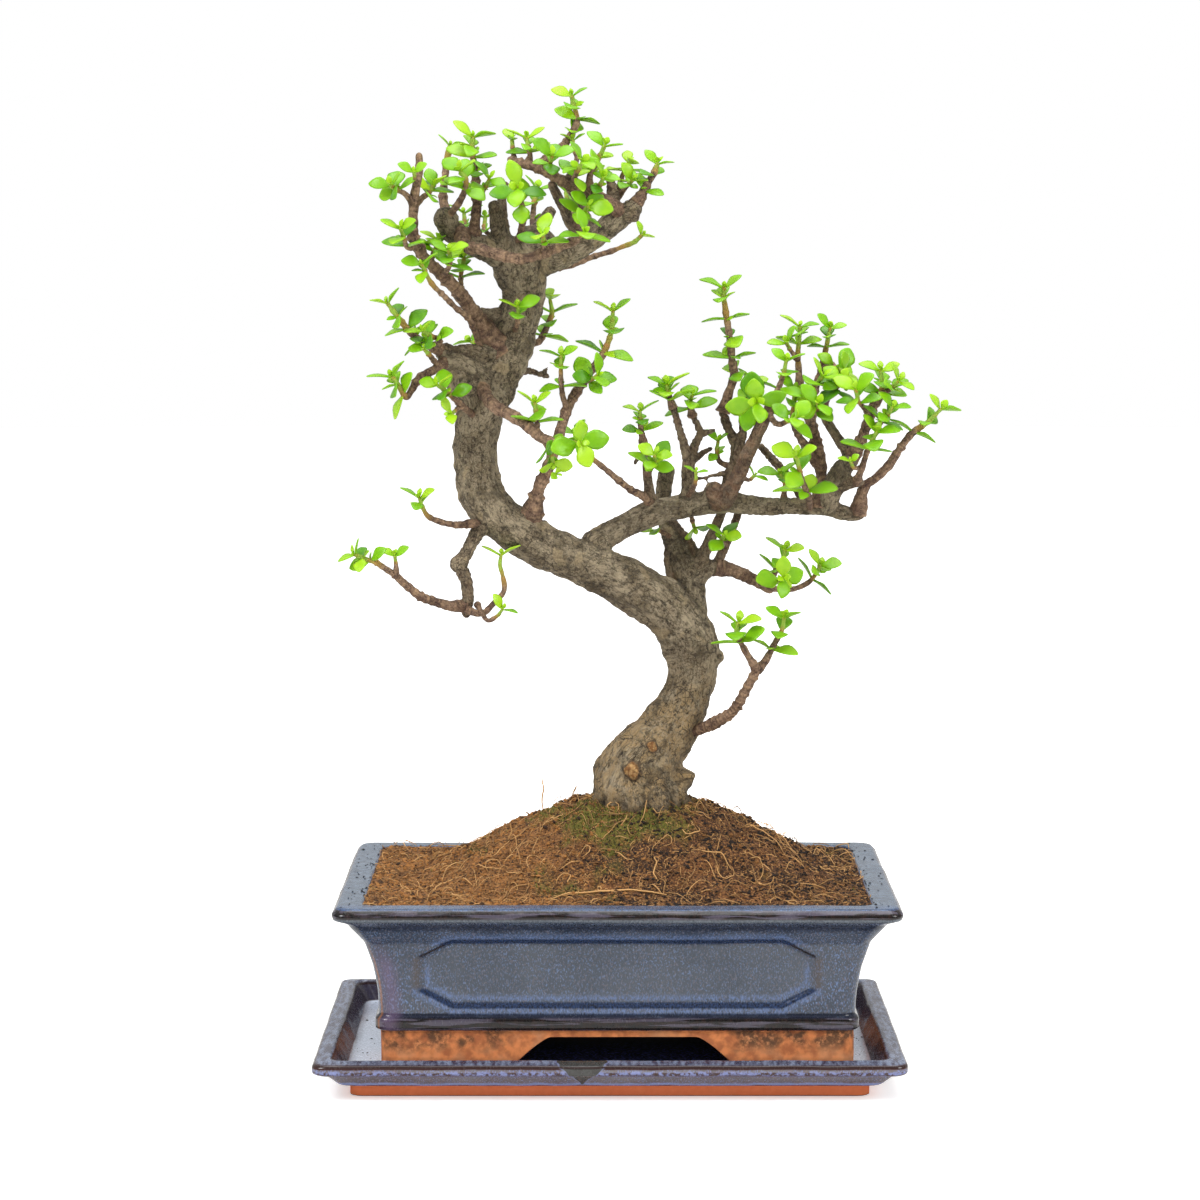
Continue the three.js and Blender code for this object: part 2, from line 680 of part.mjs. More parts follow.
      route: [
        [856, 512, 6], [864, 488, 3], [876, 478, 0], [889, 465, -3], [899, 450, -4], [908, 438, -6],
        [915, 431, -6], [928, 422, -8], [940, 410, -9],
      ],
      thick: [6.2, 5, 4.4, 4.2, 4, 3.8, 3.4, 2.2, 1.8], pairs: 3, from: 0.72, size: 11.5, turn: 10,
    },
  ],
  leafy_twig_link: [
    {
      route: [[726, 546, 21], [722, 541, 12], [724, 536, 6]],
      thick: [2.6, 1.8], pairs: 2, from: 0.6, size: 11, turn: 30,
    },
  ],
  leafy_twig_under_limb: [
    {
      route: [[691, 507, 9], [692, 519, 18], [694, 527, 21]],
      thick: [2.4, 1.6], pairs: 1, from: 1, size: 9.5, turn: 20,
    },
  ],
  leafy_twig_secondary: [
    {
      route: [[672, 534, 22], [660, 531, 15], [654, 531, 12]],
      thick: [2.4, 1.6], pairs: 1, from: 1, size: 9.5, turn: 60,
    },
  ],
  leafy_branch_right_low: [
    {
      route: [[714, 567, 20], [734, 571, 22], [752, 579, 24], [768, 588, 26]],
      thick: [7, 6.2, 5.8, 5.2],
    },
    {
      route: [[766, 587, 26], [773, 576, 22], [778, 567, 20], [783, 558, 18], [785, 551, 18]],
      thick: [3.4, 1.8], pairs: 3, from: 0.4, size: 11.5, turn: 10,
    },
    {
      route: [[766, 586, 24], [774, 583, 12], [780, 580, 2], [783, 578, -10]],
      thick: [2.8, 2], pairs: 2, from: 0.65, size: 13.5, turn: 80, facing: true,
    },
    {
      route: [[767, 588, 26], [788, 590, 32], [806, 584, 33], [816, 574, 33], [820, 566, 33]],
      thick: [3, 1.8], pairs: 3, from: 0.62, size: 11, turn: 20,
    },
  ],
  leafy_branch_low_right: [
    {
      route: [
        [668, 736, 5], [700, 729, 1], [716, 722, -7], [731, 713, -14], [739, 703, -18],
        [747, 688, -21], [757, 670, -24],
      ],
      thick: [6, 4.2],
    },
    {
      route: [[757, 671, -24], [750, 659, -26], [742, 645, -27], [737, 634, -28], [738, 624, -28]],
      thick: [3.6, 1.8], pairs: 3, from: 0.55, size: 13, turn: 10,
    },
    {
      route: [[757, 671, -24], [766, 660, -21], [775, 643, -18], [782, 630, -16], [784, 619, -16]],
      thick: [4, 1.8], pairs: 3, from: 0.4, size: 12, turn: 10,
    },
  ],
  leafy_twig_low_left_upper: [
    {
      route: [
        [480, 518, -18], [468, 524, -27], [457, 525, -32], [441, 522, -36], [428, 516, -39],
        [422, 506, -40], [420, 499, -40],
      ],
      thick: [4, 1.8], pairs: 2, from: 0.88, size: 10.5, turn: 20,
    },
  ],
  leafy_branch_low_left: [
    {
      route: [
        [467, 606, -24], [451, 606, -30], [433, 601, -34], [420, 596, -38], [405, 584, -40],
        [395, 575, -42], [383, 567, -44], [375, 562, -45], [365, 559, -45], [356, 555, -46],
      ],
      thick: [5, 2], pairs: 3, from: 0.82, size: 10, turn: 20,
    },
    {
      route: [[396, 576, -42], [396, 566, -44], [395, 557, -44]],
      thick: [2.8, 1.8], pairs: 1, from: 1, size: 9.5, turn: 10,
    },
  ],
  leafy_twig_low_left_hook: [
    {
      route: [
        [467, 610, -26], [476, 613, -30], [485, 612, -30], [494, 603, -28], [504, 591, -26],
        [503, 577, -24], [500, 565, -22], [501, 556, -22],
      ],
      thick: [3.4, 1.8], pairs: 1, from: 1, size: 12, turn: 0,
    },
    {
      route: [[477, 613, -30], [487, 620, -38], [497, 616, -40], [502, 610, -42]],
      thick: [2.4, 1.6], pairs: 1, from: 1, size: 9, turn: 10,
    },
  ],
};

// A number from 0 to 1 that is always the same for the same leaf and purpose.
function draw(leaf, purpose) {
  const value = Math.sin(leaf * 12.9898 + purpose * 78.233) * 43758.5453;
  return value - Math.floor(value);
}

function solid(geometry) {
  const bare = geometry.clone();
  bare.deleteAttribute("normal");
  bare.deleteAttribute("uv");
  const merged = mergeVertices(bare, 1e-4);
  return new wasm.Manifold(
    new wasm.Mesh({
      numProp: 3,
      vertProperties: new Float32Array(merged.attributes.position.array),
      triVerts: new Uint32Array(merged.index.array),
    }),
  );
}

// Cuts leave some edges too short to keep. Each of them shrinks to a point.
const shortEdge = 0.12;

function withoutShortEdges(faces, cornerAt) {
  const corners = faces.map((face) => [...face]);
  for (let i = 0; i < corners.length; i++) {
    for (const side of [0, 1, 2]) {
      const keep = corners[i][side];
      const drop = corners[i][(side + 1) % 3];
      if (cornerAt(keep).distanceTo(cornerAt(drop)) > shortEdge) continue;
      const around = (corner) => new Set(corners.filter((face) => face.includes(corner)).flat());
      const shared = [...around(keep)].filter((corner) => around(drop).has(corner));
      if (shared.length !== 4) continue;
      const moved = corners.map((face) => face.map((corner) => (corner === drop ? keep : corner)));
      return withoutShortEdges(moved.filter((face) => new Set(face).size === 3), cornerAt);
    }
  }
  return corners;
}

function geometryOf(body) {
  const mesh = body.getMesh();
  const positions = new THREE.BufferAttribute(mesh.vertProperties, 3);
  const cornerAt = (corner) => new THREE.Vector3().fromBufferAttribute(positions, corner);
  const faces = [];
  for (let i = 0; i < mesh.triVerts.length; i += 3) faces.push([...mesh.triVerts.slice(i, i + 3)]);
  const geometry = new THREE.BufferGeometry();
  geometry.setAttribute("position", positions);
  geometry.setIndex(withoutShortEdges(faces, cornerAt).flat());
  geometry.computeVertexNormals();
  return geometry;
}

function union(bodies) {
  return bodies.reduce((all, body) => all.add(body));
}

function largestBody(body) {
  return body.decompose().reduce((most, one) => (one.volume() > most.volume() ? one : most));
}

// A closed surface through loops of the same number of points, ending on a point at each end.
function skin(loops, start, end) {
  const count = loops[0].length;
  const points = [start, ...loops.flat(), end];
  const last = points.length - 1;
  const faces = [];
  for (let i = 0; i < count; i++) {
    const next = (i + 1) % count;
    faces.push(0, 1 + next, 1 + i);
    for (let k = 0; k + 1 < loops.length; k++) {
      const low = 1 + k * count;
      const high = low + count;
      faces.push(low + i, low + next, high + next, low + i, high + next, high + i);
    }
    faces.push(last, last - count + i, last - count + next);
  }
  const geometry = new THREE.BufferGeometry().setFromPoints(points);
  geometry.setIndex(faces);
  return geometry;
}

// Pot and tray: level loops with rounded corners, from the middle below to the middle above.
const cornerSteps = 2;

function levelLoop(halfX, halfY, radius, z, sidePoints = 0) {
  const loop = [];
  for (let corner = 0; corner < 4; corner++) {
    const signX = corner === 0 || corner === 3 ? 1 : -1;
    const signY = corner < 2 ? 1 : -1;
    for (let step = 0; step <= cornerSteps; step++) {
      const angle = (corner + step / cornerSteps) * (Math.PI / 2);
      const x = signX * (halfX - radius) + radius * Math.cos(angle);
      const y = signY * (halfY - radius) + radius * Math.sin(angle);
      loop.push(new THREE.Vector3(x, y, z));
    }
  }
  return loop.flatMap((point, i) => {
    const isSideStart = i % (cornerSteps + 1) === cornerSteps;
    const next = loop[(i + 1) % loop.length];
    const steps = isSideStart ? sidePoints + 1 : 1;
    return Array.from({ length: steps }, (_, step) => point.clone().lerp(next, step / steps));
  });
}

function levelBody(sections, narrower) {
  const loops = sections.map(([halfX, z, radius = 7]) => levelLoop(halfX, halfX - narrower, radius, z));
  const start = new THREE.Vector3(0, 0, sections[0][1]);
  const end = new THREE.Vector3(0, 0, sections.at(-1)[1]);
  return solid(skin(loops, start, end));
}

// A flat outline in x and z, pushed straight through the pot from front to back.
function throughCut(points, from, to) {
  const outline = new THREE.Shape(points.map(([x, z]) => new THREE.Vector2(x, z)));
  const geometry = new THREE.ExtrudeGeometry(outline, { depth: to - from, bevelEnabled: false });
  return solid(geometry.rotateX(Math.PI / 2).translate(0, to, 0));
}

function archOutline({ top, topWidth, bottomWidth, slope, shift }) {
  const half = topWidth / 2;
  const foot = bottomWidth / 2;
  const outline = [
    [-foot, 0], [foot, 0], [foot, top - slope], [half + 4, top - 2.6], [half, top],
    [-half, top], [-half - 4, top - 2.6], [-foot, top - slope],
  ];
  return outline.map(([x, z]) => [x + shift, z]);
}

function panelOutline({ width, bottom, top, cutX, cutZ }) {
  const half = width / 2;
  return [
    [-half + cutX, bottom], [half - cutX, bottom], [half, bottom + cutZ], [half, top - cutZ],
    [half - cutX, top], [-half + cutX, top], [-half, top - cutZ], [-half, bottom + cutZ],
  ];
}

// Half widths of the pot's outside by height, from the foot up to the rim.
const potOutside = [
  [109.4, trayFloor + gap], [109.4, 28.7], [111.7, 29.5], [111.7, 34.5], [110, 36], [110.6, 47],
  [112.8, 59], [116.4, 70.6], [124, 80.6], [130, 83.2], [130.6, 86], [127.8, 89],
];
const potInside = [[117.4, 89], [116, 87.6], [107, 62], [100, potFloor]];

function pot() {
  const hollowFoot = [[96, 28], [100.4, trayFloor + gap]];
  const outside = potOutside.map(([half, z]) => [half, z]);
  let body = levelBody([...hollowFoot, ...outside, ...potInside], potNarrower);
  const recess = potOutside.map(([half, z]) => [half - panelDepth, z]);
  const recessed = levelBody(recess, potNarrower);
  const panels = throughCut(panelOutline(frontPanel), -140, 140);
  const sides = throughCut(panelOutline(sidePanel), -160, 160).rotate([0, 0, 90]);
  body = body.subtract(panels.subtract(recessed)).subtract(sides.subtract(recessed));
  body = body.subtract(throughCut(archOutline(footArch), -140, 140));
  body = body.subtract(throughCut(archOutline(sideArch), -160, 160).rotate([0, 0, 90]));
  for (const side of [-1, 1]) {
    const hole = new THREE.CylinderGeometry(drainHole.radius, drainHole.radius, 40, 12);
    hole.rotateX(Math.PI / 2).translate(side * drainHole.offset, 0, potFloor);
    body = body.subtract(solid(hole));
  }
  return body.translate([potShift, 0, 0]);
}

function tray() {
  return levelBody(
    [
      [119.6, 0, 5], [119.6, 4.8, 5], [125, 6.2, 6], [131, 12.2, 6], [134.8, 12.7, 6],
      [136, 13.8, 6], [136, 16.8, 6], [135, 18, 6], [128.6, 19, 6], [127.4, 18, 6],
      [122, trayFloor, 5],
    ],
    trayNarrower,
  );
}

function meshPlate(grow, side) {
  const across = drainMesh.side + 2 * grow;
  const height = drainMesh.thickness + 2 * grow;
  const middle = potFloor + gap + drainMesh.thickness / 2;
  const centre = potShift + side * drainHole.offset;
  const plate = solid(new THREE.BoxGeometry(across, across, height).translate(centre, 0, middle));
  if (grow) return plate;
  const pitch = drainMesh.side / drainMesh.openings;
  const open = pitch - drainMesh.bar;
  const holes = [];
  for (let i = 0; i < drainMesh.openings ** 2; i++) {
    const x = ((i % drainMesh.openings) - 0.5) * pitch + centre;
    const y = (Math.floor(i / drainMesh.openings) - 0.5) * pitch;
    holes.push(solid(new THREE.BoxGeometry(open, open, 3 * height).translate(x, y, middle)));
  }
  return plate.subtract(union(holes));
}

// Height of the soil over the point x, y: a mound that falls from the trunk to the pot's rim.
function soilHeight(x, y) {
  const fromRim = Math.max(Math.abs(x - potShift) / soilReach.x, Math.abs(y) / soilReach.y);
  const away = Math.hypot((x - mound.centre[0]) / soilReach.x, (y - mound.centre[1]) / soilReach.y);
  const share = Math.min(1, away + (1 - Math.min(away, 1)) * fromRim ** 3);
  const wide = 1.1 * Math.sin(x * 0.19 + 1.3) * Math.cos(y * 0.23);
  const small = 0.7 * Math.sin(x * 0.41 - y * 0.37);
  const lumps = (wide + small) * Math.min(1, 3 * (1 - share));
  return mound.edge + mound.rise * (1 - share ** mound.fall) + lumps;
}

function soilBody() {
  const clear = potInside.map(([half, z]) => [half - gap, z]).reverse();
  clear[0][1] += gap;
  clear.splice(-2, 2, [114.6, mound.edge]);
  const loops = clear.map(([half, z]) =>
    levelLoop(half, half - potNarrower, 7, z, 2).map((point) => point.setX(point.x + potShift)),
  );
  const rim = loops.at(-1);
  const centre = new THREE.Vector3(mound.centre[0], mound.centre[1], 0);
  for (const share of [0.8, 0.55, 0.32]) {
    loops.push(
      rim.map((point) => {
        const at = point.clone().lerp(centre, 1 - share);
        at.z = soilHeight(at.x, at.y);
        return at;
      }),
    );
  }
  centre.z = soilHeight(centre.x, centre.y);
  return solid(skin(loops, new THREE.Vector3(potShift, 0, potFloor + gap), centre));
}

// The bends of a stem: places and directions along a smooth curve, about as far apart as spacing.
function bendsThrough(points, spacing) {
  const curve = new THREE.CatmullRomCurve3(points, false, "catmullrom", 0.5);
  const steps = Math.max(2, Math.round(curve.getLength() / spacing));
  return Array.from({ length: steps + 1 }, (_, k) => ({
    at: curve.getPoint(k / steps),
    along: curve.getTangent(k / steps),
  }));
}

// The place and direction on a stem at a share of its length, on the straight between two bends.
function placeOn(bends, share) {
  const place = share * (bends.length - 1);
  const before = Math.min(Math.floor(place), bends.length - 2);
  const [from, to] = [bends[before], bends[before + 1]];
  const at = from.at.clone().lerp(to.at, place - before);
  return { at, along: from.along.clone().lerp(to.along, place - before).normalize() };
}

// A tapering stem, blunt at its far end.
function stem(bends, thick, sides, grow = 0) {
  let side = new THREE.Vector3(0, 1, 0);
  const loops = bends.map(({ at, along }, k) => {
    side = side.addScaledVector(along, -side.dot(along)).normalize();
    const other = along.clone().cross(side);
    const radius = thicknessAt(thick, k / (bends.length - 1)) / 2 + grow;
    return Array.from({ length: sides }, (_, i) => {
      const angle = (i / sides) * 2 * Math.PI;
      const point = at.clone().addScaledVector(side, radius * Math.cos(angle));
      return point.addScaledVector(other, radius * Math.sin(angle));
    });
  });
  const last = bends.at(-1);
  const start = bends[0].at.clone().addScaledVector(bends[0].along, -0.2 * thick[0]);
  const tip = last.at.clone().addScaledVector(last.along, 0.3 * thick.at(-1) + grow);
  return solid(skin(loops, start, tip));
}

function thicknessAt(thick, share) {
  const place = share * (thick.length - 1);
  const before = Math.min(Math.floor(place), thick.length - 2);
  return THREE.MathUtils.lerp(thick[before], thick[before + 1], place - before);
}

function burl({ at, radius }, grow) {
  const detail = radius > 9 ? 1 : 0;
  return solid(new THREE.IcosahedronGeometry(radius + grow, detail).translate(...fromPhoto(at)));
}

// A root that runs out and down from the trunk's foot, wholly inside the soil.
function buriedRoot(turn, grow) {
  const angle = (turn / roots.count) * 2 * Math.PI;
  const [x, y] = mound.centre;
  const reachY = roots.reach * Math.sin(angle) * 0.9;
  const points = [0, 0.45, 1].map(
    (share, k) =>
      new THREE.Vector3(
        x + share * roots.reach * Math.cos(angle), y + share * reachY, roots.heights[k],
      ),
  );
  const side = new THREE.Vector3(-Math.sin(angle), Math.cos(angle), 0);
  const loops = points.map((point, k) => {
    const radius = roots.thick[k] / 2 + grow;
    return [0, 1, 2, 3, 4].map((i) => {
      const around = (i / 5) * 2 * Math.PI;
      const aside = point.clone().addScaledVector(side, radius * Math.cos(around));
      return aside.setZ(aside.z + radius * Math.sin(around));
    });
  });
  return solid(skin(loops, points[0], points[2].clone().lerp(points[1], -0.04 - grow / 50)));
}

const limbSpacing = { trunk: 23, other: 26 };
const limbBends = Object.fromEntries(
  Object.entries(limbs).map(([name, { route }]) => [
    name,
    bendsThrough(route.map(fromPhoto), limbSpacing[name] ?? limbSpacing.other),
  ]),
);

// All wood of the trunk as one body. With grow it is the room that other pieces leave for it.
function wood(grow) {
  const pieces = Object.entries(limbs).map(([name, { thick }]) => {
    const sides = Math.max(...thick) > 8 ? 5 : 4;
    return stem(limbBends[name], thick, name === "trunk" ? 10 : sides, grow);
  });
  const lumps = Object.values(burls).map((one) => burl(one, grow));
  const feet = Array.from({ length: roots.count }, (_, turn) => buriedRoot(turn + 0.3, grow));
  return union([...pieces, ...lumps, ...feet]);
}

// Outline of half a leaf: share of its length, half width as a share of its length.
const leafOutline = [[0.5, 0.37], [0.93, 0.27]];

// A leaf is a thick round blade: a shallow spoon above, plump below, bent back at the tip. Its root
// lies inside the stem.
function leafBlade({ root, along, across, up, length, grow = 0 }) {
  const place = (share, aside, raise) =>
    root
      .clone()
      .addScaledVector(along, share * length)
      .addScaledVector(across, aside * (length + grow))
      .addScaledVector(up, (raise - 0.14 * share * share) * length);
  const raise = grow / length;
  const one = leafOutline.map(([share, half]) => place(share, half, 0.06 + raise));
  const other = leafOutline.map(([share, half]) => place(share, -half, 0.06 + raise)).reverse();
  const points = [place(0.02, 0, raise), ...one, ...other, place(0.55, 0, -leafThickness - raise)];
  const geometry = new THREE.BufferGeometry().setFromPoints(points);
  geometry.setIndex([0, 1, 2, 0, 2, 3, 0, 3, 4, 5, 1, 0, 5, 2, 1, 5, 3, 2, 5, 4, 3, 5, 0, 4]);
  return solid(geometry);
}

// Leaves turn to the light: a pair's axis is its stem's, less deep, and lifted to the front. Each
// leaf also rolls about its own midrib, through so many degrees in all.
const leafLean = { less: new THREE.Vector3(1, 0.35, 1), light: new THREE.Vector3(0, -0.5, 0.5) };
const leafRoll = 70;

// How a leaf may give way to its neighbours: change of its spread and turn in degrees, and size.
const givings = [
  [0, 0, 1], [-16, 0, 1], [16, 0, 1], [0, 24, 1], [0, -24, 1], [-22, 24, 0.9], [-22, -24, 0.9],
  [20, 30, 0.85], [20, -30, 0.85], [-32, 0, 0.8], [0, 50, 0.75], [0, -50, 0.75],
];

function leafAt(shoot, pair, which, number, giving) {
  const share = shoot.pairs > 1 ? shoot.from + ((1 - shoot.from) * pair) / (shoot.pairs - 1) : 1;
  const { at: root, along: stemward } = placeOn(shoot.bends, share);
  if (!shoot.facing) stemward.multiply(leafLean.less).add(leafLean.light).normalize();
  const viewer = new THREE.Vector3(0, -1, 0);
  const facing = Math.abs(stemward.dot(viewer)) > 0.85;
  const side = stemward.clone().cross(facing ? new THREE.Vector3(0, 0, 1) : viewer).normalize();
  const front = side.clone().cross(stemward);
  const isTip = pair === shoot.pairs - 1;
  const quarter = (shoot.pairs - 1 - pair) * 90;
  const [spreadChange, turnChange, sizeChange] = giving;
  const turn = shoot.turn + quarter + which * 180 + turnChange + 24 * (draw(number, 1) - 0.5);
  const spread = (isTip ? 52 : 72) + spreadChange + 22 * (draw(number, 2) - 0.5);
  const length = shoot.size * sizeChange * (isTip ? 0.9 : 1) * (0.86 + 0.28 * draw(number, 3));
  const outward = side.multiplyScalar(Math.cos(THREE.MathUtils.degToRad(turn)));
  outward.addScaledVector(front, Math.sin(THREE.MathUtils.degToRad(turn)));
  const along = outward.multiplyScalar(Math.sin(THREE.MathUtils.degToRad(spread)));
  along.addScaledVector(stemward, Math.cos(THREE.MathUtils.degToRad(spread))).normalize();
  const up = stemward.clone().addScaledVector(along, -stemward.dot(along)).normalize();
  up.applyAxisAngle(along, THREE.MathUtils.degToRad(leafRoll * (draw(number, 4) - 0.5)));
  const across = along.clone().cross(up);
  return { root, along, across, up, length };
}

function nearestOn(stems, point) {
  const steps = Array.from({ length: 41 }, (_, k) => k / 40);
  const places = stems.flatMap((bends) => steps.map((share) => placeOn(bends, share).at));
  return places.reduce((best, at) => (at.distanceTo(point) < best.distanceTo(point) ? at : best));
}

// The shoots of a leafy branch. The first grows from the nearest limb, and each other one from the
// nearest bit of an earlier one.
function shootsOf(name) {
  const shoots = [];
  for (const one of branches[name]) {
    const points = one.route.map(fromPhoto);
    const stems = shoots.length ? shoots.map((earlier) => earlier.bends) : Object.values(limbBends);
    points[0] = nearestOn(stems, points[0]);
    const bends = bendsThrough(points, shootSpacing);
    const sides = Math.max(...one.thick) > 5 ? 4 : 3;
    const body = stem(bends, one.thick, sides);
    const room = stem(bends, one.thick, 4, 2 * gap);
    shoots.push({ name, ...one, bends, body, room });
  }
  return shoots;
}

// Every leafy branch as one body: its shoots first, then leaf by leaf in whatever way stays clear.
function leafyBranches(woodRoom) {
  const shoots = Object.keys(branches).flatMap(shootsOf);
  const placed = [];
  const meets = (room, other) => !room.intersect(other).isEmpty();
  const apart = (a, b) => [0, 1, 2].some((i) => a.min[i] > b.max[i] || a.max[i] < b.min[i]);
  const meetsShoot = (room, box, shoot) =>
    !apart(shoot.room.boundingBox(), box) && meets(room, shoot.room);
  const isClear = (room, box, name) =>
    !placed.some((leaf) => !apart(leaf.box, box) && meets(room, leaf.body)) &&
    !shoots.some((shoot) => shoot.name !== name && meetsShoot(room, box, shoot)) &&
    !meets(room, woodRoom);
  let number = 0;
  for (const shoot of shoots) {
    for (let pair = 0; pair < (shoot.pairs ?? 0); pair++) {
      const found = [0, 1].map((which) => {
        number += 1;
        for (const giving of givings) {
          const leaf = leafAt(shoot, pair, which, number, giving);
          const room = leafBlade({ ...leaf, grow: 2 * gap });
          const box = room.boundingBox();
          if (isClear(room, box, shoot.name)) return { body: leafBlade(leaf), box, name: shoot.name };
        }
        return null;
      });
      placed.push(...found.filter(Boolean));
    }
  }
  return Object.keys(branches).map((name) => {
    const own = [...shoots, ...placed].filter((piece) => piece.name === name);
    return [name, largestBody(union(own.map((piece) => piece.body)).subtract(woodRoom))];
  });
}

const glaze = { color: 0x4c5868, roughness: 0.22, metalness: 0 };
const finishes = {
  drip_tray: { color: 0x46505c, roughness: 0.25, metalness: 0 },
  pot: glaze,
  soil: { color: 0x7a4f2c, roughness: 1, metalness: 0 },
  drain_mesh_left: { color: 0x2f2f2f, roughness: 0.6, metalness: 0 },
  drain_mesh_right: { color: 0x2f2f2f, roughness: 0.6, metalness: 0 },
  trunk_and_branches: { color: 0x7a6a58, roughness: 0.9, metalness: 0 },
};
const leafFinish = { color: 0x6fc02a, roughness: 0.35, metalness: 0 };

const bonsai = new THREE.Group();

function addNode(name, body) {
  const finish = new THREE.MeshStandardMaterial(finishes[name] ?? leafFinish);
  const mesh = new THREE.Mesh(geometryOf(body), finish);
  mesh.name = name;
  bonsai.add(mesh);
}

const woodRoom = wood(gap);
addNode("drip_tray", tray());
addNode("pot", pot());
addNode("drain_mesh_left", meshPlate(0, -1));
addNode("drain_mesh_right", meshPlate(0, 1));
addNode("soil", soilBody().subtract(meshPlate(gap, -1)).subtract(meshPlate(gap, 1)).subtract(woodRoom));
addNode("trunk_and_branches", wood(0));
for (const [name, body] of leafyBranches(woodRoom)) addNode(name, body);

export default bonsai;
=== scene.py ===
import math

import bpy
import numpy as np
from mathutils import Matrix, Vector


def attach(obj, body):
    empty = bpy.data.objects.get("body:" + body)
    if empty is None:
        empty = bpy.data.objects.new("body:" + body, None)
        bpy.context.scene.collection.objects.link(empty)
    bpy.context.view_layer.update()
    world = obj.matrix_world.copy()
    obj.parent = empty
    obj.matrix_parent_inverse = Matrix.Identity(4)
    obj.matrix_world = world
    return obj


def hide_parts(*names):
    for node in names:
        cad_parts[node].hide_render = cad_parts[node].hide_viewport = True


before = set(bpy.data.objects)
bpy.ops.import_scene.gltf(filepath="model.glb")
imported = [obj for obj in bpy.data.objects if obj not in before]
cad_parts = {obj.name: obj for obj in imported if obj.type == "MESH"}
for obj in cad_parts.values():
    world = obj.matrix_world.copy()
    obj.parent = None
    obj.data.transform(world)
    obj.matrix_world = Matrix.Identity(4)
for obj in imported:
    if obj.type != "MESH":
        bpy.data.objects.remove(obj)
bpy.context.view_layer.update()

# The view. The photograph was taken from 1.7 m in front of the pot with a long lens, looking a
# little down. The tree's stems are read off it as a column, a row and a depth behind the middle
# of the pot, and from_photo places them. Sizes are in millimetres until a mesh is made.
photo = {"centre": 600, "focal": 3590, "eye": (-4.5, -1700, 390), "pitch": 0.0991}
millimetre = 0.001


def from_photo(places):
    """The places in mm of columns, rows and depths: each lies where the ray through its pixel
    reaches its depth."""
    column, row, depth = np.array(places, float).T
    right = (column - photo["centre"]) / photo["focal"]
    up = (photo["centre"] - row) / photo["focal"]
    ahead = np.cos(photo["pitch"]) + up * np.sin(photo["pitch"])
    rise = up * np.cos(photo["pitch"]) - np.sin(photo["pitch"])
    reach = (depth - photo["eye"][1]) / ahead
    return np.column_stack([photo["eye"][0] + right * reach, depth, photo["eye"][2] + rise * reach])


camera_data = bpy.data.cameras.new("camera")
camera_data.sensor_width = 36
camera_data.lens = camera_data.sensor_width * photo["focal"] / (2 * photo["centre"])
camera = bpy.data.objects.new("camera", camera_data)
camera.location = Vector(photo["eye"]) * millimetre
camera.rotation_euler = (math.pi / 2 - photo["pitch"], 0, 0)
bpy.context.scene.collection.objects.link(camera)
bpy.context.scene.camera = camera

# The drip tray. One shallow dish of red stoneware, pressed in a mould and dipped in a blue-grey
# glaze that breaks to brown on its rims and pools pale on its floor, which is painted paler still
# as a reflection of the backdrop. The base stays bare.
tray_outline = [
    (119.6, 0), (119.6, 4.8), (125, 6.2), (131, 12.2), (134.8, 12.7), (136, 13.8), (136, 16.8),
    (135, 18), (128.6, 19), (127.4, 18), (122, 9),
]
tray_half = 130
tray_narrower = 38
tray_corner = 6
tray_drip = {"x": -12.7, "low": 6.8, "spread": 0.95, "proud": 0.7}
no_drip = -9.0
tray_wobble = 0.2
tray_lines = {"foot": 7.0, "wall": 14.2, "rim": 17.2}


def round_rectangle(half_x, half_y, radius, step, more_x=(), more_y=()):
    """Stations round a rectangle with round corners, anticlockwise: the signs of the corner centre
    that a point is measured from, which run from -1 to 1 along a side, and the outward direction.
    They are about a step apart, and a side has more of them where asked."""
    corners = [(1, 1), (-1, 1), (-1, -1), (1, -1)]
    turn = np.linspace(0, np.pi / 2, 1 + max(4, round(radius * np.pi / 2 / step)))
    stations = []
    for k, corner in enumerate(corners):
        angle = k * np.pi / 2 + turn
        signs = np.tile(corner, (len(turn), 1))
        stations.append(np.column_stack([signs, np.cos(angle), np.sin(angle)]))
        axis = k % 2
        following = corners[(k + 1) % 4]
        half = (half_x, half_y)[axis] - radius
        share = np.linspace(-1, 1, round(2 * half / step))[1:-1]
        share = np.unique(np.concatenate([share, (more_x, more_y)[axis]]))
        side = np.tile([*following, np.cos(angle[-1]), np.sin(angle[-1])], (len(share), 1))
        side[:, axis] = share * following[axis]
        stations.append(side)
    return np.concatenate(stations)


def level_loops(stations, half_x, height, narrower, radius):
    """A level loop of points for each half width and height: the corner centres lie a radius in
    from the sides, and each point lies a radius out from its own."""
    sign_x, sign_y, out_x, out_y = stations.T
    x = sign_x * (half_x - radius)[:, None] + out_x * radius
    y = sign_y * (half_x - narrower - radius)[:, None] + out_y * radius
    return np.stack([x, y, np.broadcast_to(height[:, None], x.shape)], axis=-1)


def drawn_in(loop, shares):
    """The loop at each share of its width, at the same height."""
    return loop * (np.array(shares)[:, None, None] * (1, 1, 0) + (0, 0, 1))


def soften(outline, radius, step):
    """Points about a step apart on the outline, each averaged over a radius to both sides, which
    rounds the corners, and how sharply it turns there in radians per mm: above 0 on a ridge and
    below 0 in a hollow."""
    outline = np.array(outline, float)
    run = np.append(0, np.cumsum(np.hypot(*np.diff(outline, axis=0).T)))
    places = np.linspace(0, run[-1], 1 + round(run[-1] / step))
    window = np.linspace(-radius, radius, 25)
    near = np.clip(places[:, None] + window, 0, run[-1])
    points = np.stack([np.interp(near, run, column).mean(axis=1) for column in outline.T], axis=-1)
    across, up = np.gradient(points, axis=0).T
    return points, np.gradient(np.unwrap(np.arctan2(up, across))) / step


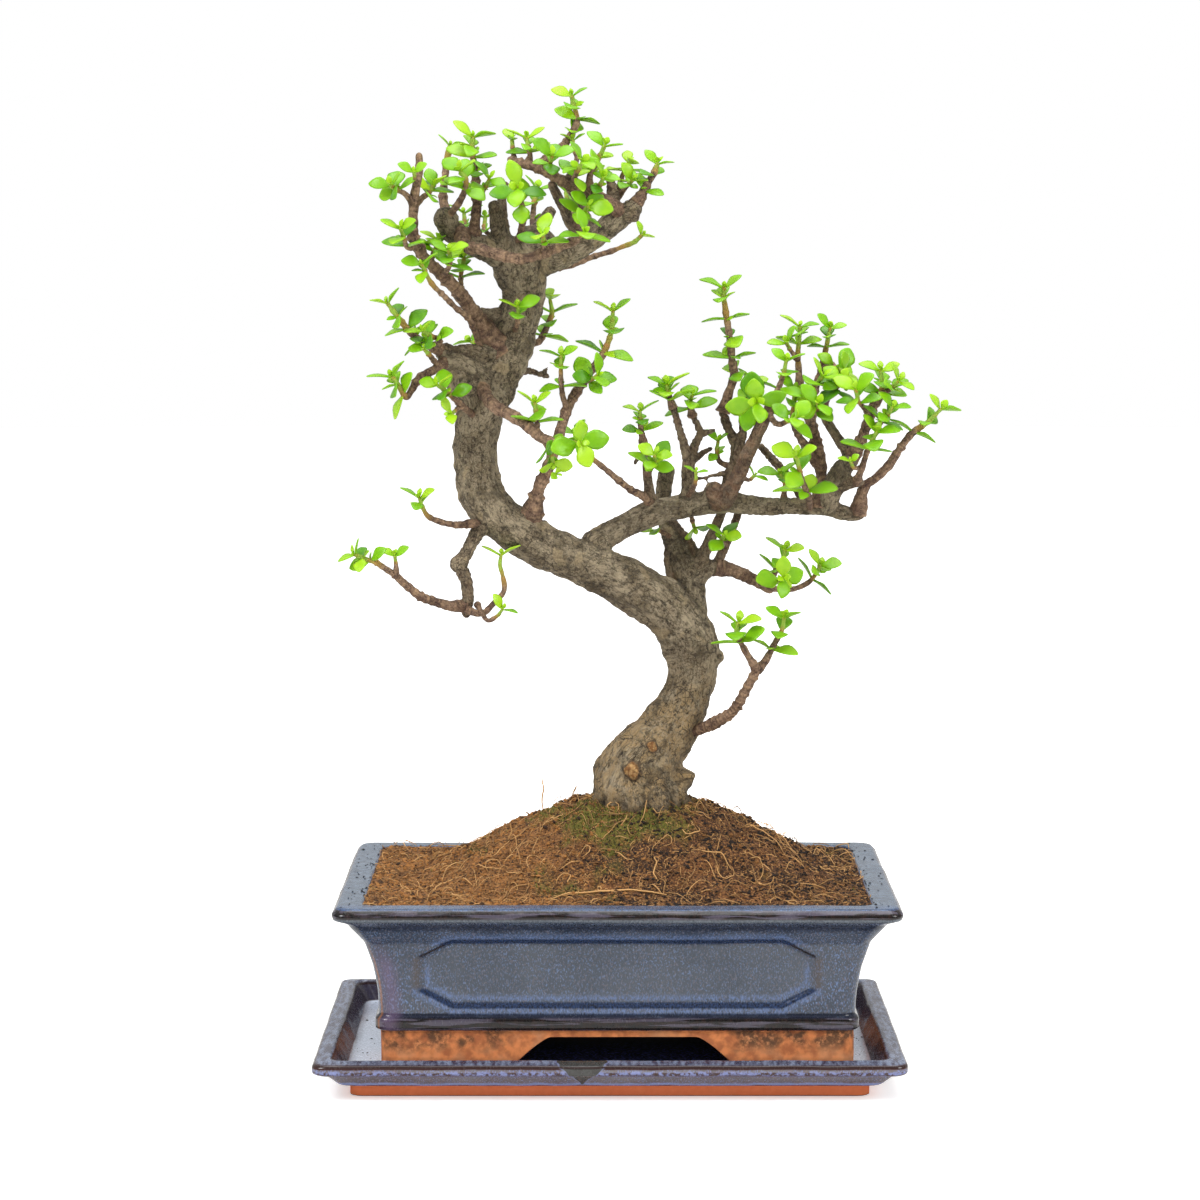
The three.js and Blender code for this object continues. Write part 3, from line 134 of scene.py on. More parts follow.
def skin(loops):
    """Points and faces of a closed surface: neighbouring loops joined by quads, and a fan to the
    middle of the first and of the last one."""
    rows, columns = loops.shape[:2]
    row, column = np.mgrid[0 : rows - 1, 0:columns]
    beside = (column + 1) % columns
    low = row * columns
    quads = np.stack([low + column, low + beside, low + columns + beside, low + columns + column], -1)
    column, beside = column[0], beside[0]
    first = np.stack([beside, column, np.full(columns, rows * columns)], -1)
    top = (rows - 1) * columns
    last = np.stack([top + column, top + beside, np.full(columns, rows * columns + 1)], -1)
    ends = [loops[0].mean(axis=0), loops[-1].mean(axis=0)]
    return np.concatenate([loops.reshape(-1, 3), ends]), [quads.reshape(-1, 4), first, last]


def skin_values(values):
    """Values over the rows and columns of a skin in the order of its points, ends included."""
    return np.append(values.ravel(), [values[0].mean(), values[-1].mean()])


def join(surfaces):
    """Several surfaces of points and faces as one."""
    points, faces, start = [], [], 0
    for own_points, own_faces in surfaces:
        points.append(own_points)
        faces += [face + start for face in own_faces]
        start += len(own_points)
    return np.concatenate(points), faces


def noise(at, size, seed=0):
    """Soft noise from -1 to 1: a random value at each corner of cubes of that size, blended from
    corner to corner by 3t^2 - 2t^3."""
    scaled = np.asarray(at, float) / size
    cell = np.floor(scaled).astype(np.int64)
    blend = scaled - cell
    blend = blend * blend * (3 - 2 * blend)
    total = np.zeros(scaled.shape[:-1])
    for corner in np.ndindex(2, 2, 2):
        key = ((cell + corner) * (73856093, 19349663, 83492791)).sum(-1) + seed * 15485863
        key = (key ^ (key >> 13)) * 1274126177 & 0x7FFFFFFF
        key = (key ^ (key >> 16)) * 668265263 & 0x7FFFFFFF
        weight = np.where(corner, blend, 1 - blend).prod(-1)
        total += weight * ((key >> 7 & 0xFFFF) / 32767.5 - 1)
    return total


def new_mesh(name, surface, material, **values):
    """A smooth mesh object of the surface's points, in mm, and faces, with values, one for each
    point, as attributes that its material reads."""
    points, faces = surface
    mesh = bpy.data.meshes.new(name)
    corners = np.concatenate([face.ravel() for face in faces])
    sizes = np.concatenate([np.full(len(face), face.shape[1]) for face in faces])
    mesh.vertices.add(len(points))
    mesh.vertices.foreach_set("co", (points * millimetre).astype(np.float32).ravel())
    mesh.loops.add(len(corners))
    mesh.loops.foreach_set("vertex_index", corners.astype(np.int32))
    mesh.polygons.add(len(sizes))
    mesh.polygons.foreach_set("loop_start", (np.cumsum(sizes) - sizes).astype(np.int32))
    mesh.update(calc_edges=True)
    mesh.shade_smooth()
    for key, value in values.items():
        kind = "FLOAT_VECTOR" if value.ndim == 2 else "FLOAT"
        attribute = mesh.attributes.new(key, kind, "POINT")
        field = "vector" if value.ndim == 2 else "value"
        attribute.data.foreach_set(field, value.astype(np.float32).ravel())
    mesh.materials.append(material)
    made = bpy.data.objects.new(name, mesh)
    bpy.context.scene.collection.objects.link(made)
    return made


def place(piece, slot_name, *nodes):
    """Sets a piece in the frame: it rides on the one body and stands for the nodes that it replaces,
    if any. The slot name is not used."""
    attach(piece, "root")
    if nodes:
        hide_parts(*nodes)


def paint(code):
    """A colour written as six hexadecimal digits, as the linear values that shaders take."""
    channels = np.array([int(code[i : i + 2], 16) for i in (0, 2, 4)]) / 255
    linear = np.where(channels <= 0.04045, channels / 12.92, ((channels + 0.055) / 1.055) ** 2.4)
    return (*linear, 1.0)


def node(kind, sockets, result=0, tree=None, **settings):
    """Adds a shader node with its settings, and a value or a link on each named socket, and gives
    one of its outputs. A node with links goes into the tree that they come from."""
    links = [value for value in sockets.values() if isinstance(value, bpy.types.NodeSocket)]
    made = (tree or links[0].id_data).nodes.new("ShaderNode" + kind)
    for name, value in settings.items():
        setattr(made, name, value)
    for name, value in sockets.items():
        if value in links:
            made.id_data.links.new(value, made.inputs[name])
        else:
            made.inputs[name].default_value = value
    return made.outputs[result]


def blend(share, one, other):
    """One colour where the share is 0 and the other where it is 1. Each is a link or a code."""
    one, other = (paint(colour) if isinstance(colour, str) else colour for colour in (one, other))
    return node("Mix", {0: share, 6: one, 7: other}, 2, data_type="RGBA")


def calculate(operation, one, other=0.0):
    return node("Math", {0: one, 1: other}, operation=operation)


def times(product, *factors):
    for factor in factors:
        product = calculate("MULTIPLY", product, factor)
    return product


def opposite(value):
    """1 less the value."""
    return calculate("SUBTRACT", 1.0, value)


def away_from(value, middle):
    """How far the value is from the middle, to either side."""
    return calculate("ABSOLUTE", calculate("SUBTRACT", value, middle))


def tint(colour, share, most, other):
    """The colour with the other over it, as strong as the share times the most."""
    return blend(times(share, most), colour, other)


def rise(value, low, high):
    """0 where the value is under low, 1 where it is over high, and smooth between them."""
    sockets = {"Value": value, "From Min": low, "From Max": high}
    return node("MapRange", sockets, interpolation_type="SMOOTHSTEP")


def fall(value, low, high):
    """1 where the value is under low, 0 where it is over high, and smooth between them."""
    return opposite(rise(value, low, high))


def between(share, low, high):
    """Low where the share is 0 and high where it is 1, in a straight line."""
    return node("MapRange", {"Value": share, "To Min": low, "To Max": high})


def band(value, middle, half_width):
    """1 where the value is at the middle, falling to 0 a half width away."""
    return fall(away_from(value, middle), 0.0, half_width)


def grain(at, per_mm, detail=2.0, stretch=(1, 1, 1), rough=0.5):
    """Noise over places in mm, with so many waves to a mm, stretched by leaving out some of an
    axis."""
    spread = node("VectorMath", {0: at, 1: stretch}, operation="MULTIPLY")
    sockets = {"Vector": spread, "Scale": per_mm, "Detail": detail, "Roughness": rough}
    return node("TexNoise", sockets)


def patches(at, per_mm, detail, low, high, **more):
    """Patches of 1 on 0: where the grain is over high, smooth down to where it is under low."""
    return rise(grain(at, per_mm, detail, **more), low, high)


def waver(value, cloud, most):
    """The value with the cloud's swing round one half added, times the most."""
    swing = calculate("SUBTRACT", cloud, 0.5)
    return calculate("ADD", value, times(swing, most))


def object_places(tree):
    """The places on a piece in mm."""
    at = node("TexCoord", {}, "Object", tree)
    return node("VectorMath", {0: at, "Scale": 1 / millimetre}, operation="SCALE")


def axes(at):
    """The three numbers of a place, under X, Y and Z."""
    return node("SeparateXYZ", {0: at}, "X").node.outputs


def value_of(tree, name, result="Fac"):
    return node("Attribute", {}, result, tree, attribute_name=name)


def new_group(name, inputs):
    """An empty node group and its inputs by name."""
    group = bpy.data.node_groups.new(name, "ShaderNodeTree")
    for socket, kind in inputs.items():
        group.interface.new_socket(socket, in_out="INPUT", socket_type="NodeSocket" + kind)
    return group, group.nodes.new("NodeGroupInput").outputs


def give_out(group, **results):
    """Gives the group an output for each result: Color, or a number under any other name."""
    for name in results:
        kind = "NodeSocketColor" if name == "Color" else "NodeSocketFloat"
        group.interface.new_socket(name, in_out="OUTPUT", socket_type=kind)
    out = group.nodes.new("NodeGroupOutput")
    for name, socket in results.items():
        group.links.new(socket, out.inputs[name])
    return group


def in_group(tree, group, links, **colours):
    """The outputs of a group that is placed in a material with its own links and colours."""
    made = tree.nodes.new("ShaderNodeGroup")
    made.node_tree = group
    for name, code in colours.items():
        made.inputs[name.replace("_", " ").title()].default_value = paint(code)
    for name, socket in links.items():
        tree.links.new(socket, made.inputs[name])
    return made.outputs


def new_material(name, **uniform):
    """A material, its node tree and its shader, with the uniform values on the shader."""
    material = bpy.data.materials.new(name)
    material.use_nodes = True
    shader = material.node_tree.nodes["Principled BSDF"]
    for socket, value in uniform.items():
        shader.inputs[socket.replace("_", " ")].default_value = value
    return material, material.node_tree, shader


def dress(shader, colour, height, depth, rough=None, distance=millimetre):
    """Puts a colour on the shader, bumps from a height, where depth is how strong they are, and a
    roughness if it isn't the same all over."""
    tree = shader.id_data
    tree.links.new(colour, shader.inputs["Base Color"])
    if rough is not None:
        tree.links.new(rough, shader.inputs["Roughness"])
    bump = node("Bump", {"Height": height, "Strength": depth, "Distance": distance})
    tree.links.new(bump, shader.inputs["Normal"])


# The glaze that the tray and the pot were dipped in: it is speckled, breaks brown where a ridge
# lets it run thin, and pools where a hollow holds it.
def make_glaze():
    colours = ("Glaze", "Deep", "Light Specks", "Warm Specks", "Broken", "Pooled")
    group, given = new_group("glaze", {**dict.fromkeys(colours, "Color"), "Turn": "Float"})
    at = object_places(group)
    body = blend(patches(at, 0.035, 4.0, 0.36, 0.66), given["Deep"], given["Glaze"])
    strokes = (1, 1, 0.5)
    warm = patches(at, 1.15, 3.0, 0.5, 0.63, stretch=strokes)
    body = tint(body, warm, 0.5, given["Warm Specks"])
    light = patches(at, 1.7, 2.0, 0.53, 0.67, stretch=strokes)
    light = times(light, between(grain(at, 0.06, 3.0), 0.1, 1.0))
    body = blend(light, body, given["Light Specks"])
    turn = waver(given["Turn"], grain(at, 0.3, 3.0), 0.3)
    body = blend(rise(turn, 0.1, 0.3), body, given["Broken"])
    hollow = times(turn, -1.0)
    body = blend(rise(hollow, 0.08, 0.3), body, given["Pooled"])
    waves = times(grain(at, 0.16, 3.0), 0.35)
    height = calculate("ADD", waves, times(light, 0.03))
    return give_out(group, Color=body, Roughness=between(warm, 0.16, 0.3), Height=height)


glaze = make_glaze()


def make_tray_finish():
    """The glaze, with a pale blue line on the wall and one at the foot, a streaky rim, and the run
    down the front. The dish is dark up its wall and pale on its floor, partly as painted reflection
    of the backdrop, with painted shade below the pot, and the base is bare clay."""
    material, tree, shader = new_material("tray_glaze_finish", IOR=1.45)
    at = object_places(tree)
    places = axes(at)
    height, inward, drip = places["Z"], value_of(tree, "inward"), value_of(tree, "drip")
    level = waver(height, grain(at, 0.12, 4.0), 2.5)
    colour, rough, bumps = in_group(
        tree, glaze, {"Turn": value_of(tree, "turn")}, glaze="6b6769", deep="5c5558",
        light_specks="7f8cc0", warm_specks="6e5658", broken="3a2422", pooled="666f9c",
    )
    flat_top = rise(height, 17.6, 18.3)
    streaks = grain(at, 0.5, 4.0, (1, 0.25, 1))
    top_colour = blend(rise(streaks, 0.35, 0.65), "3c3a4c", "737c92")
    colour = blend(flat_top, colour, top_colour)
    wall_line = band(level, tray_lines["wall"], 1.9)
    mottled = patches(at, 0.7, 3.0, 0.4, 0.6)
    colour = tint(colour, times(wall_line, mottled), 0.75, "8490c4")
    colour = tint(colour, band(level, tray_lines["foot"], 1.3), 0.8, "8496cc")
    wall = times(inward, rise(height, 9.3, 10.2), opposite(flat_top))
    colour = blend(wall, colour, blend(streaks, "2a1a18", "46475c"))
    floor_share = times(inward, fall(height, 9.1, 9.9))
    # The floor's pale colour: pooled glaze, painted paler as a reflection of the backdrop, with dark
    # specks.
    floor_colour = blend(patches(at, 0.55, 2.0, 0.69, 0.71), "cdd8ea", "17120f")
    # Painted shade under the pot: the floor there is dark violet with specks, and near-black further back.
    across, beside = (calculate("ABSOLUTE", places[axis]) for axis in "YX")
    shade = times(fall(across, 66.0, 76.0), fall(beside, 98.0, 106.0))
    under = blend(patches(at, 0.8, 3.0, 0.45, 0.65), "191a3c", "545ea6")
    under = tint(under, rise(places["Y"], -34.0, -6.0), 0.95, "07070c")
    floor_colour = blend(shade, floor_colour, under)
    colour = blend(floor_share, colour, floor_colour)
    colour = tint(colour, rise(drip, -1.2, 0.0), 0.6, "7c86ac")
    drip_colour = blend(streaks, "2c2724", "4e504e")
    colour = blend(rise(drip, -0.2, 0.4), colour, drip_colour)
    colour = blend(band(height, tray_lines["rim"], 0.9), colour, "2a1816")
    clay = blend(grain(at, 0.4, 4.0), "f08e60", "dc7a4c")
    bare = times(fall(height, 5.4, 5.9), opposite(inward))
    colour = blend(bare, colour, clay)
    colour = blend(fall(height, 0.2, 0.7), colour, "3a1c14")
    dull = calculate("MAXIMUM", bare, times(shade, floor_share))
    rough = node("Mix", {0: dull, 2: rough, 3: 0.9})
    dress(shader, colour, bumps, 0.35, rough)
    return material


def make_tray():
    """The tray's outline carried round a rectangle, pushed in and out by soft noise, with one run
    of glaze in a V down the front: the V is as wide as its height over its tip, times a spread. The
    floor and the underside shrink to a point."""
    near_drip = (np.arange(-14, 14, 0.7) + tray_drip["x"]) / (tray_half - tray_corner)
    stations = round_rectangle(tray_half, tray_half - tray_narrower, tray_corner, 2.4, near_drip)
    outline, turn = soften(tray_outline, 0.7, 0.5)
    loops = level_loops(stations, *outline.T, tray_narrower, tray_corner)
    turn = np.repeat(turn[:, None], len(stations), axis=1)
    x, y, z = np.moveaxis(loops, -1, 0)
    row = np.arange(len(outline))[:, None]
    rim_row = np.argmax(outline[:, 1])
    inward = np.broadcast_to(row > rim_row, x.shape).astype(float)
    drip = (z - tray_drip["low"]) * tray_drip["spread"] - np.abs(x - tray_drip["x"])
    drip = np.where((y < -60) & (row < rim_row + 3), drip + 0.8 * noise(loops, 3, 4), no_drip)
    run = np.clip(drip / 3, 0, 1)
    proud = tray_wobble * noise(loops, 14, 1) + 0.1 * noise(loops, 5, 2)
    proud = proud * (z > 0.4) * (1 - inward * (z < 9.4)) + tray_drip["proud"] * run * (3 - 2 * run) * run
    loops = loops + proud[..., None] * np.pad(stations[:, 2:], ((0, 0), (0, 1)))
    loops[..., 2] += 0.18 * noise(loops, 20, 3) * np.clip((z - 12) / 4, 0, 1)
    shares = [0.02, 0.25, 0.5, 0.75, 0.9, 0.97]
    whole = np.concatenate([drawn_in(loops[0], shares), loops, drawn_in(loops[-1], shares[::-1])])
    pad = ((len(shares), len(shares)), (0, 0))
    values = {
        "turn": skin_values(np.pad(turn, pad)),
        "drip": skin_values(np.pad(drip, pad, constant_values=no_drip)),
        "inward": skin_values(np.pad(inward, pad, mode="edge")),
    }
    return new_mesh("tray_glazed", skin(whole), make_tray_finish(), **values)


place(make_tray(), "glaze_tray", "drip_tray")

# The pot. One thrown and pressed stoneware body: a flared lip, a wall with a sunk panel on each
# side, a belt, and a bare terracotta foot with an arch on each side. It wears the tray's glaze.
pot_outline = [
    (96, 28), (100.4, 9.3), (109.4, 9.3), (109.4, 28.7), (111.7, 29.5), (111.7, 34.5), (110, 36),
    (110.6, 47), (112.8, 59), (116.4, 70.6), (124, 80.6), (130, 83.2), (130.6, 86), (127.8, 89),
    (117.4, 89), (116, 87.6), (112, 76),
]
pot_inside = [(112, 76), (107, 62), (100, 37.5)]
pot_half = 112
pot_narrower = 36
pot_corner = 7
pot_shift = 3.5
foot_bottom, underside = 9.3, 28.0
pot_lines = {"cove": 79.2, "light": 83.6, "lip": 86.4, "edge": 88.5}
arches = {
    "front": {"half_bottom": 54.0, "half_top": 34.0, "top": 25.8, "shift": 3.0},
    "side": {"half_bottom": 31.5, "half_top": 18.0, "top": 25.8, "shift": 0.0},
}
panels = {
    "front": {"half": 90.3, "cut": 14.5}, "side": {"half": 57.5, "cut": 13},
    "middle": 56.3, "half_height": 15.5, "cut_up": 7.6, "depth": 1.5, "bevel": 1.1,
}
drain = {"radius": 9, "offset": 55, "heights": (20, 45)}
# What stands for how far a panel or the wall's corner is, where a place is on neither.
far = {"panel": 20.0, "corner": 40.0}


def arch_height(across, arch):
    """How high the foot's edge stands over each place: level at its top, then down to the ground
    in a slope whose start is rounded, as share^1.25."""
    away = np.abs(across - arch["shift"]) - arch["half_top"]
    share = np.clip(away / (arch["half_bottom"] - arch["half_top"]), 0, 1)
    return arch["top"] - (arch["top"] - foot_bottom) * share**1.25


def panel_reach(across, height, panel):
    """How far a place lies outside a panel's outline, and below 0 inside it: the most of its
    distances from the sides, the top and bottom and the cut corners."""
    beyond = np.abs(across) - panel["half"]
    over = np.abs(height - panels["middle"]) - panels["half_height"]
    slant = (beyond + panel["cut"]) * panels["cut_up"] + (over + panels["cut_up"]) * panel["cut"]
    slant = (slant - panel["cut"] * panels["cut_up"]) / math.hypot(panel["cut"], panels["cut_up"])
    return np.maximum(np.maximum(beyond, over), slant)


def make_pot_finish():
    """The glaze, with navy lines and a blue glow round the panels, painted shade in the cove under the
    lip, dark glaze on the lip and on the belt with painted highlight streaks, a painted reflection on
    the front of the rim's top, and brown at the wall's left corner. The foot is stained clay, and the
    underside is painted near-black as shade."""
    material, tree, shader = new_material("pot_glaze_finish", IOR=1.45)
    at = object_places(tree)
    places = axes(at)
    height, reach = places["Z"], value_of(tree, "panel")
    wave = grain(at, 0.14, 4.0)
    level = waver(height, wave, 3.0)
    colour, rough, bumps = in_group(
        tree, glaze, {"Turn": value_of(tree, "turn")}, glaze="444a54", deep="353d4a",
        light_specks="6f88b4", warm_specks="5c5560", broken="33241f", pooled="171d2c",
    )
    colour = tint(colour, fall(reach, -4.0, -1.5), 0.25, "565c63")
    hazy = grain(at, 1.3, 3.0, (1, 1, 0.5))
    hazy = node("MapRange", {"Value": hazy, "From Min": 0.35, "From Max": 0.65})
    # Round the panels: the lines are thin along the top, and missing at the middle of the ends.
    from_middle = calculate("SUBTRACT", height, panels["middle"])
    off_middle = calculate("ABSOLUTE", from_middle)
    off_ends = rise(off_middle, 6.0, 9.0)
    is_upper = rise(from_middle, -2.0, 2.0)
    is_cut = fall(off_middle, 13.0, 14.6)
    thin = times(is_upper, is_cut)
    line = calculate("DIVIDE", away_from(reach, 0.2), between(thin, 1.9, 0.8))
    line = times(fall(line, 0.3, 1.0), off_ends)
    glow = calculate("SUBTRACT", reach, between(is_upper, 2.6, 2.4))
    glow = times(band(glow, 0.0, 2.6), off_ends, opposite(thin))
    low_glow = times(band(reach, -3.2, 2.4), fall(from_middle, 0.0, 8.0), is_cut)
    glow = times(calculate("MAXIMUM", glow, low_glow), hazy)
    colour = tint(colour, glow, 0.8, "5f749f")
    ends = times(opposite(off_ends), band(reach, 2.0, 3.2))
    colour = tint(colour, ends, 0.6, "4a3f38")
    line_colour = blend(thin, blend(hazy, "0c1322", "27395c"), "1c130f")
    colour = blend(line, colour, line_colour)
    # Up the wall to the lip, its edge and the rim's top.
    # Painted shade in the cove under the lip: a dark navy band.
    navy = blend(hazy, "10131c", "262e42")
    colour = tint(colour, band(level, pot_lines["cove"], 3.2), 0.9, navy)
    light = blend(hazy, "40464f", "5f6871")
    colour = blend(band(height, pot_lines["light"], 1.7), colour, light)
    dark = blend(patches(at, 0.5, 3.0, 0.4, 0.65), "080404", "21120e")
    # Painted highlight streaks, lavender-grey, on the dark glaze of the lip and the belt.
    painted_highlight_streaks = patches(at, 0.3, 4.0, 0.5, 0.58, stretch=(0.12, 1, 2))
    dark = tint(dark, painted_highlight_streaks, 0.4, "6c6678")
    colour = blend(fall(away_from(height, pot_lines["lip"]), 1.5, 2.0), colour, dark)
    edge_colour = blend(hazy, "1c2a44", "47618c")
    colour = blend(band(height, pot_lines["edge"], 0.4), colour, edge_colour)
    top_colour = blend(patches(at, 0.4, 4.0, 0.35, 0.65), "3f4c5c", "5f6e80")
    # Painted reflection: a bluer strip along the front of the rim's top.
    painted_front_reflection = blend(hazy, "26395c", "4a6796")
    top_colour = tint(top_colour, fall(places["Y"], -86.0, -80.0), 0.4, painted_front_reflection)
    colour = blend(rise(height, 88.6, 88.9), colour, top_colour)
    # The belt, in the lip's dark glaze with its painted highlight streaks, and the wall's front left
    # corner, where purple and orange show.
    belt = times(rise(height, 29.0, 29.6), fall(level, 35.2, 36.6))
    belt_colour = blend(rise(height, 34.3, 35.6), dark, "10162a")
    colour = blend(belt, colour, belt_colour)
    corner = waver(value_of(tree, "corner"), wave, 1.6)
    low_wall = fall(level, 56.0, 76.0)
    for middle, half_width, most, code in ((5.0, 7.0, 0.45, "6a5574"), (-0.5, 1.3, 0.7, "8f5c3a")):
        by_corner = times(band(corner, middle, half_width), low_wall)
        colour = tint(colour, by_corner, most, code)
    # The foot's clay: chalky patches, dark stains near the ends, and a brown line at the sole.
    clay = blend(patches(at, 0.22, 5.0, 0.35, 0.65), "d8854e", "a8623a")
    clay = tint(clay, patches(at, 0.07, 3.0, 0.45, 0.65), 0.5, "d49a6c")
    stain = times(
        patches(at, 0.07, 6.0, 0.42, 0.54), patches(at, 0.4, 6.0, 0.3, 0.56, rough=0.7),
        rise(waver(height, wave, 6.0), 17.0, 24.0),
        rise(away_from(places["X"], pot_shift), 44.0, 58.0),
    )
    clay = tint(clay, stain, 0.85, "33271a")
    clay = tint(clay, band(height, foot_bottom + 5.4, 2.2), 0.35, "4a2a18")
    bare = fall(height, 28.7, 29.3)
    colour = blend(bare, colour, clay)
    # Painted shade: the underside and the foot's inner face near-black.
    colour = blend(value_of(tree, "under"), colour, "0d0a09")
    pores = times(grain(at, 1.6, 3.0), bare, 0.25)
    rough = node("Mix", {0: bare, 2: rough, 3: 0.8})
    dress(shader, colour, calculate("ADD", bumps, pores), 0.4, rough)
    return material


def circle(sides):
    """Points of a level circle of radius 1."""
    turn = np.linspace(0, 2 * np.pi, sides, endpoint=False)
    return np.stack([np.cos(turn), np.sin(turn), 0 * turn], axis=-1)


def evaluated(piece):
    """The piece with its modifiers on."""
    bpy.context.view_layer.update()
    return piece.evaluated_get(bpy.context.evaluated_depsgraph_get())


def make_pot():
    """The pot's outline carried round a rectangle. The foot's rows are squeezed up under its
    arches, the wall sinks inside the panels, and soft noise makes it hand-made. Two round holes
    are drilled through its floor."""
    stations = round_rectangle(pot_half, pot_half - pot_narrower, pot_corner, 1.4)
    outline, turn = soften(pot_outline, 0.8, 0.95)
    inside, _ = soften(pot_inside, 1.0, 8)
    loops = level_loops(stations, *outline.T, pot_narrower, pot_corner)
    turn = np.repeat(turn[:, None], len(stations), axis=1)
    x, y, z = np.moveaxis(loops, -1, 0)
    is_front = np.abs(stations[:, 3]) > 0.999
    is_side = np.abs(stations[:, 2]) > 0.999
    edge = np.full(loops.shape[:2], foot_bottom)
    edge = np.where(is_front, arch_height(x, arches["front"]), edge)
    edge = np.where(is_side, arch_height(y, arches["side"]), edge)
    row = np.arange(len(outline))[:, None]
    is_foot = (z < underside) & (row < len(outline) / 2)
    lifted = underside - (underside - z) * (underside - edge) / (underside - foot_bottom)
    loops[..., 2] = np.where(is_foot, lifted, z)
    # The underside and the foot's inner face, which the finish paints near-black as shade.
    under = ((row < np.argmin(outline[:, 1])) & (z < foot_bottom + 30)).astype(float)
    under = np.broadcast_to(under, x.shape)
    corner = pot_corner * (np.arctan2(stations[:, 2], stations[:, 3]) + 0.75 * np.pi)
    is_corner = (stations[:, 0] < -0.85) & (stations[:, 1] < 0) & (stations[:, 3] < -0.02)
    corner = np.where(is_front, x - x.min(axis=1, keepdims=True) - pot_corner, 0) - corner
    corner = np.where(is_corner, corner, far["corner"])
    reach = np.full(loops.shape[:2], far["panel"])
    reach = np.where(is_front, panel_reach(x, z, panels["front"]), reach)
    reach = np.where(is_side, panel_reach(y, z, panels["side"]), reach)
    reach = np.where(row > np.argmax(outline[:, 0]), far["panel"], reach)
    sunk = np.clip(0.5 - reach / (2 * panels["bevel"]), 0, 1)
    sunk = panels["depth"] * sunk * sunk * (3 - 2 * sunk)
    wobble = (0.28 * noise(loops, 17, 4) + 0.12 * noise(loops, 6, 5)) * (1 - under)
    loops = loops + (wobble - sunk)[..., None] * np.pad(stations[:, 2:], ((0, 0), (0, 1)))
    loops[..., 2] += 0.2 * noise(loops, 22, 6) * (z > 60)
    inner = level_loops(stations, *inside[1:].T, pot_narrower, pot_corner)
    shares = [0.02, 0.4, 0.8]
    whole = [drawn_in(loops[0], shares), loops, inner, drawn_in(inner[-1], shares[::-1])]
    whole = np.concatenate(whole) + (pot_shift, 0, 0)
    pad = ((3, len(inner) + 3), (0, 0))
    values = {
        "turn": skin_values(np.pad(turn, pad)),
        "panel": skin_values(np.pad(reach, pad, constant_values=far["panel"])),
        "corner": skin_values(np.pad(corner, pad, constant_values=far["corner"])),
        "under": skin_values(np.pad(under, pad, constant_values=((1, 0), (0, 0)))),
    }
    made = new_mesh("pot_glazed", skin(whole), make_pot_finish(), **values)
    for side in (-1, 1):
        ring = drain["radius"] * circle(32) + (pot_shift + side * drain["offset"], 0, 0)
        drill = skin(np.stack([ring + (0, 0, height) for height in drain["heights"]]))
        bit = new_mesh("drill", drill, made.data.materials[0])
        cut = made.modifiers.new("drain_hole", "BOOLEAN")
        cut.operation = "DIFFERENCE"
        cut.solver = "MANIFOLD"
        cut.object = bit
        cut_mesh = bpy.data.meshes.new_from_object(evaluated(made))
        made.modifiers.clear()
        made.data = cut_mesh
        bpy.data.objects.remove(bit)
    return made


place(make_pot(), "glaze_pot", "pot")

# The drain meshes: two squares of black plastic net that keep the soil in, laid over the holes
# in the pot's floor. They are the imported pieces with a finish.
def make_net_finish():
    """Near-black plastic with soil dried on it in patches, where it is duller."""
    material, tree, shader = new_material("drain_net_finish")
    at = object_places(tree)
    dirt = patches(at, 0.5, 4.0, 0.45, 0.7)
    colour = tint("26282a", dirt, 0.6, "5a4532")
    dress(shader, colour, grain(at, 1.5, 3.0), 0.3, between(dirt, 0.45, 0.85))
    return material


net_finish = make_net_finish()
for name in ("drain_mesh_left", "drain_mesh_right"):
    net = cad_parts[name]
    net.data.materials.clear()
    net.data.materials.append(net_finish)

# The soil: peat and grit that fills the pot and mounds up to the trunk. On it lie crumbs, tan
# rootlets, moss near the trunk and a few dry stalks.
soil = {"half": 116.6, "edge": 88.4, "rise": 41, "centre": (15.4, 2), "fall": 1.5, "floor": 37.8}
soil_reach = (116, 80)


def soil_height(x, y):
    """The mound over x, y: it falls from the trunk to the rim as 1 - share^1.5, where the share is
    the way out, and slow waves go over it."""
    from_rim = np.maximum(np.abs(x - pot_shift) / soil_reach[0], np.abs(y) / soil_reach[1])
    away = np.hypot((x - soil["centre"][0]) / soil_reach[0], (y - soil["centre"][1]) / soil_reach[1])
    share = np.minimum(1, away + (1 - np.minimum(away, 1)) * from_rim**3)
    waves = 1.1 * np.sin(x * 0.19 + 1.3) * np.cos(y * 0.23) + 0.7 * np.sin(x * 0.41 - y * 0.37)
    mound = soil["edge"] + soil["rise"] * (1 - share ** soil["fall"])
    return mound + waves * np.minimum(1, 3 * (1 - share))


def soil_surface(x, y):
    """The mound with its clods: noise of three sizes, less of it at the rim."""
    at = np.stack([x, y, 0 * x], axis=-1)
    rim = np.maximum(np.abs(x - pot_shift) / soil_reach[0], np.abs(y) / soil_reach[1])
    clods = 1.4 * noise(at, 9, 11) + 0.9 * noise(at, 3.6, 12) + 0.5 * np.abs(noise(at, 1.7, 13))
    return soil_height(x, y) + clods * np.clip(8 * (1 - rim), 0.2, 1)


def moss_share(x, y):
    """Where moss grows: in patches near the trunk's foot and on the front of the mound."""
    at = np.stack([x, y, 0 * x], axis=-1)
    near = np.exp(-(((x - 6) / 38) ** 2) - ((y + 14) / 30) ** 2)
    return np.clip(2.2 * near + 0.9 * noise(at, 16, 21) + 0.5 * noise(at, 6, 22) - 0.75, 0, 1)


